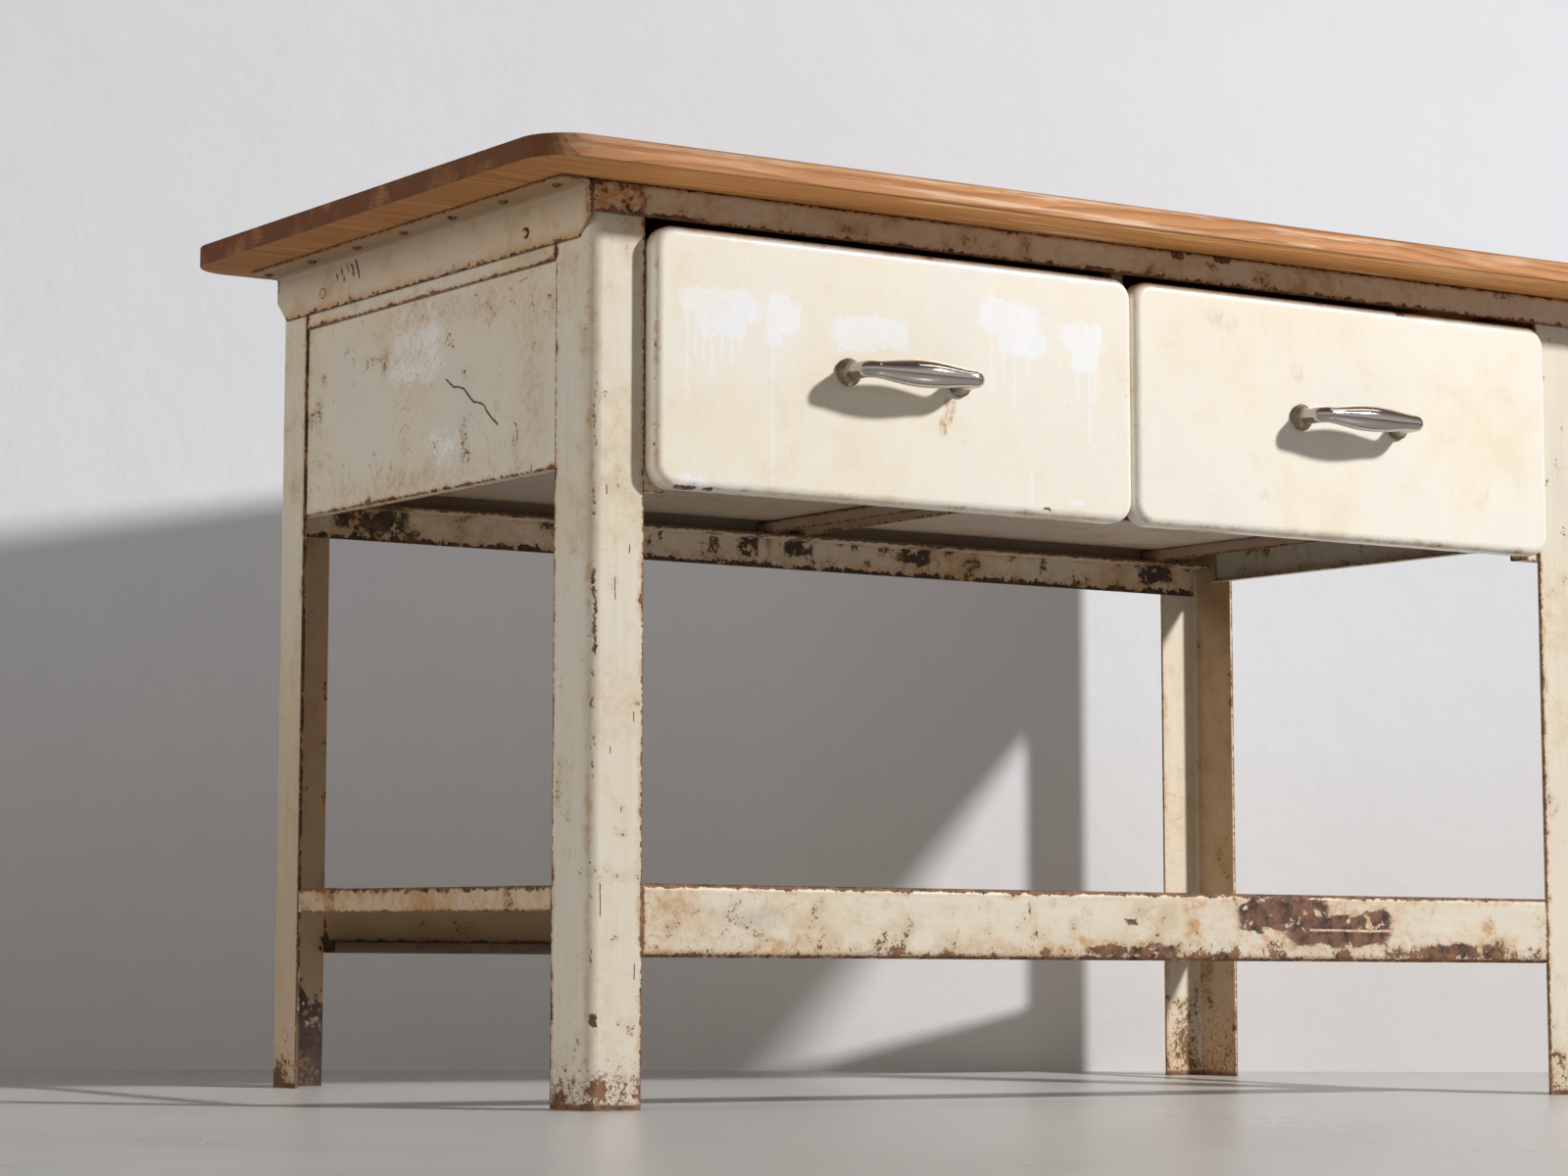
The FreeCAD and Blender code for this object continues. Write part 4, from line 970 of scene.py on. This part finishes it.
class WORKTABLE_OT_finish_inside(Operator):
    """Give the back panel, runners, post and drawer boxes dull sheet steel"""

    bl_idname = "worktable.finish_inside"
    bl_label = "Finish Inside"

    NODES = ("panel_back", "runner_left", "runner_right", "runner_middle", "post_middle",
             "drawer_tray_left", "drawer_tray_right", "drawer_back_left", "drawer_back_right")
    # Painted light: the right drawer's tray is made paler to stand for the brighter light under that drawer.
    PAINTED_LIGHT = {"drawer_tray_right": 1.3}

    def execute(self, context):
        for node in self.NODES:
            coat = Finish("steel", node)
            steel = Vector(settings().paint.bare_steel) * self.PAINTED_LIGHT.get(node, 1.0)
            coat.paint(opaque(steel), CROSSWISE, dirt=0.4, chip=0.2, rim=1.4, decay=0.2, stain=0.16,
                       gloss=0.45)
        return {"FINISHED"}


class WORKTABLE_OT_finish_fasteners(Operator):
    """Give the screws dull, rusty heads"""

    bl_idname = "worktable.finish_fasteners"
    bl_label = "Finish Fasteners"

    NODES = ("top_screws_left", "top_screws_right", "handle_screws_left", "handle_screws_right")

    def execute(self, context):
        paints, metals = settings().paint, settings().metal
        coat = Finish("screw_steel")
        rust = coat.use(rusty_steel(), Place=coat.place, Dark=opaque(paints.rust_dark),
                        Light=opaque(paints.rust_light))
        worn = coat.flakes(130.0, 3.0, 0.5, 0.42, 0.58)
        colour = coat.mix(worn, opaque(metals.screw), rust["Colour"])
        metallic = coat.line(worn, -0.7, 0.8)
        coat.surface(colour, coat.line(worn, 0.35, 0.42), metallic, rust["Height"], 0.0002)
        coat.on(*self.NODES)
        return {"FINISHED"}


# Stage


CAMERA_PLACE = (-2.2632, -3.0301, 0.1373)
CAMERA_YAW = math.radians(30.635)
CAMERA_PITCH = math.radians(6.806)
CAMERA_ROLL = math.radians(0.491)
CAMERA_SHIFT = (0.16, -0.07)
KEY_PLACE = (1.496, -1.856, 1.822)
GLINT_ROLL = math.radians(-32.0)
# Name, place, share of the key lamp's power, size, and for one whether it is mirrored, lights, and its roll
OTHER_LAMPS = (("left_fill", (-4.5, 0.0, 1.5), 0.29, (2.2, 2.2)),
               ("back_fill", (0.5, 5.5, 0.7), 0.25, (2.6, 2.6)),
               ("glint", (1.53, -1.02, 2.61), 0.05, (1.2, 0.35), True, False, GLINT_ROLL))
WALL_TURN = math.radians(-19.29)
AIM = (0.0, 0.0, 0.45)
PALE_LEVEL = 0.75
DARK_LEVEL = 0.12
LIGHT_TINT = (1.0, 0.96, 0.91, 1.0)
SOIL_AND_SHADE_TINT = (0.91, 0.86, 0.8)


class WORKTABLE_OT_build_stage(Operator):
    """Set the floor, the backdrop, the lamps and the camera"""

    bl_idname = "worktable.build_stage"
    bl_label = "Build Stage"

    FLOOR_HALF = 9.0
    WALL_HEIGHT = 5.0

    def sheet(self, name, outline, made, turn=0.0, back=0.0):
        """A sheet swept along X from an outline of Y and Z, turned about Z and set back."""
        ends = (-self.FLOOR_HALF, self.FLOOR_HALF)
        turned = Matrix.Translation((0.0, back, 0.0)) @ Matrix.Rotation(turn, 4, "Z")
        points = [turned @ Vector((x, y, z)) for y, z in outline for x in ends]
        faces = [(2 * i, 2 * i + 1, 2 * i + 3, 2 * i + 2) for i in range(len(outline) - 1)]
        data = bpy.data.meshes.new(name)
        data.from_pydata(points, [], faces)
        data.materials.append(made)
        piece = new_object(name, data)
        return piece

    def floor(self):
        """A pale, slightly glossy floor under the table and all round it."""
        coat = Finish("pale_floor")
        cloud = coat.noise(coat.place, 2.2, 6.0, 0.6)
        grit = coat.noise(coat.place, 60.0, 4.0, 0.6)
        colour = coat.scaled(settings().stage.floor, coat.line(cloud, 0.16, 0.92))
        coat.surface(colour, coat.line(cloud, 0.2, 0.2), height=grit, depth=0.0002, shine=0.35)
        half = self.FLOOR_HALF
        self.sheet("floor", [(-half, 0.0), (half, 0.0)], coat.made)

    def backdrop(self):
        """A wall that shows only from the front, and neither blocks nor bounces light."""
        coat = Finish("pale_wall")
        cloud = coat.noise(coat.place, 1.6, 6.0, 0.6)
        trowel = coat.noise(coat.place, 14.0, 5.0, 0.6)
        colour = coat.scaled(settings().stage.backdrop, coat.line(cloud, 0.12, 0.94))
        # Darker and warmer towards the floor: partly soiling, partly painted shade like that behind the
        # table.
        soil_and_shade_height = coat.line(cloud, -0.3, coat.along(Z))
        soiled_and_shaded = coat.vector("MULTIPLY", colour, SOIL_AND_SHADE_TINT)
        colour = coat.mix(coat.fade(soil_and_shade_height, 0.45, -0.15), colour, soiled_and_shaded)
        coat.surface(colour, 0.9, height=trowel, depth=0.002)
        behind = coat.add("NewGeometry").outputs["Backfacing"]
        clear = coat.add("BsdfTransparent")
        shown = coat.add("MixShader", Fac=behind)
        coat.put(shown.inputs[1], coat.shader.outputs["BSDF"])
        coat.put(shown.inputs[2], clear.outputs["BSDF"])
        out = coat.tree.nodes["Material Output"]
        coat.put(out.inputs["Surface"], shown.outputs["Shader"])
        piece = self.sheet("backdrop", [(0.0, 0.0), (0.0, self.WALL_HEIGHT)], coat.made, WALL_TURN,
                           settings().stage.backdrop_distance)
        piece.visible_diffuse = False
        piece.visible_shadow = False

    def lamp(self, name, place, power, size, mirrored=False, lighting=True, roll=0.0):
        """An oval lamp aimed at the table, as bright far off as near. It lights, is mirrored, or both."""
        data = bpy.data.lights.new(name, "AREA")
        data.use_nodes = True
        tree = Tree(data.node_tree)
        steady = tree.add("LightFalloff", Strength=1.0)
        tree.put(data.node_tree.nodes["Emission"].inputs["Strength"], steady.outputs["Constant"])
        data.energy = power
        data.shape = "ELLIPSE"
        data.size, data.size_y = size
        lamp = new_object(name, data)
        lamp.location = place
        lamp.visible_glossy = mirrored
        lamp.visible_diffuse = lighting
        aim = Vector(AIM) - Vector(place)
        lamp.rotation_euler = (aim.to_track_quat("-Z", "Y") @ Quaternion(UP, roll)).to_euler()

    def surroundings(self):
        """Even light from all round, and a background that is pale low down and darker overhead."""
        world = bpy.data.worlds.new("studio")
        world.use_nodes = True
        tree = Tree(world.node_tree)
        background = world.node_tree.nodes["Background"]
        ray = tree.add("LightPath").outputs
        seen = tree.most(ray["Is Camera Ray"], ray["Is Glossy Ray"], ray["Is Transmission Ray"])
        level = settings().stage.ambient
        rise = tree.parts(tree.add("TexCoord").outputs["Generated"])[Z]
        pale = tree.fade(rise, 0.1, 0.75, PALE_LEVEL, DARK_LEVEL)
        tree.put(background.inputs["Color"], LIGHT_TINT)
        extra = tree.times(seen, tree.less(pale, level))
        tree.put(background.inputs["Strength"], tree.plus(extra, level))
        bpy.context.scene.world = world

    def camera(self):
        """A camera low at the left, as the photograph was taken."""
        data = bpy.data.cameras.new("camera")
        data.lens = settings().stage.lens
        data.shift_x, data.shift_y = CAMERA_SHIFT
        ahead = Vector((math.sin(CAMERA_YAW) * math.cos(CAMERA_PITCH),
                        math.cos(CAMERA_YAW) * math.cos(CAMERA_PITCH), math.sin(CAMERA_PITCH)))
        turn = Quaternion(-ahead, CAMERA_ROLL) @ ahead.to_track_quat("-Z", "Y")
        camera = new_object("camera", data)
        camera.matrix_world = Matrix.LocRotScale(Vector(CAMERA_PLACE), turn, None)
        bpy.context.scene.camera = camera

    def execute(self, context):
        stage = settings().stage
        self.floor()
        self.backdrop()
        self.lamp("key_lamp", KEY_PLACE, stage.key_power, (stage.key_size, stage.key_size), mirrored=True)
        for name, place, share, *others in OTHER_LAMPS:
            self.lamp(name, place, stage.key_power * share, *others)
        self.surroundings()
        self.camera()
        context.scene.view_settings.view_transform = "Standard"
        return {"FINISHED"}


# Panel and registration


STEPS = (WORKTABLE_OT_paint_frame, WORKTABLE_OT_finish_top, WORKTABLE_OT_enamel_drawers,
         WORKTABLE_OT_cast_handles, WORKTABLE_OT_finish_inside, WORKTABLE_OT_finish_fasteners,
         WORKTABLE_OT_build_stage)


class WORKTABLE_PT_sidebar(Panel):
    """Steps and settings of the work table"""

    bl_idname = "WORKTABLE_PT_sidebar"
    bl_label = "Work Table"
    bl_space_type = "VIEW_3D"
    bl_region_type = "UI"
    bl_category = "Work Table"

    def draw(self, context):
        for step in STEPS:
            self.layout.operator(step.bl_idname)
        for group in (settings().paint, settings().top, settings().metal, settings().stage):
            box = self.layout.box()
            for name in group.__annotations__:
                box.prop(group, name)


CLASSES = (PaintSettings, TopSettings, MetalSettings, StageSettings, WorkTableSettings, *STEPS,
           WORKTABLE_PT_sidebar)


def register():
    for item in CLASSES:
        bpy.utils.register_class(item)
    bpy.types.Scene.work_table = PointerProperty(type=WorkTableSettings)


def unregister():
    del bpy.types.Scene.work_table
    for item in reversed(CLASSES):
        bpy.utils.unregister_class(item)


def main():
    register()
    for step in STEPS:
        group, name = step.bl_idname.split(".")
        getattr(getattr(bpy.ops, group), name)()


if __name__ == "__main__":
    main()
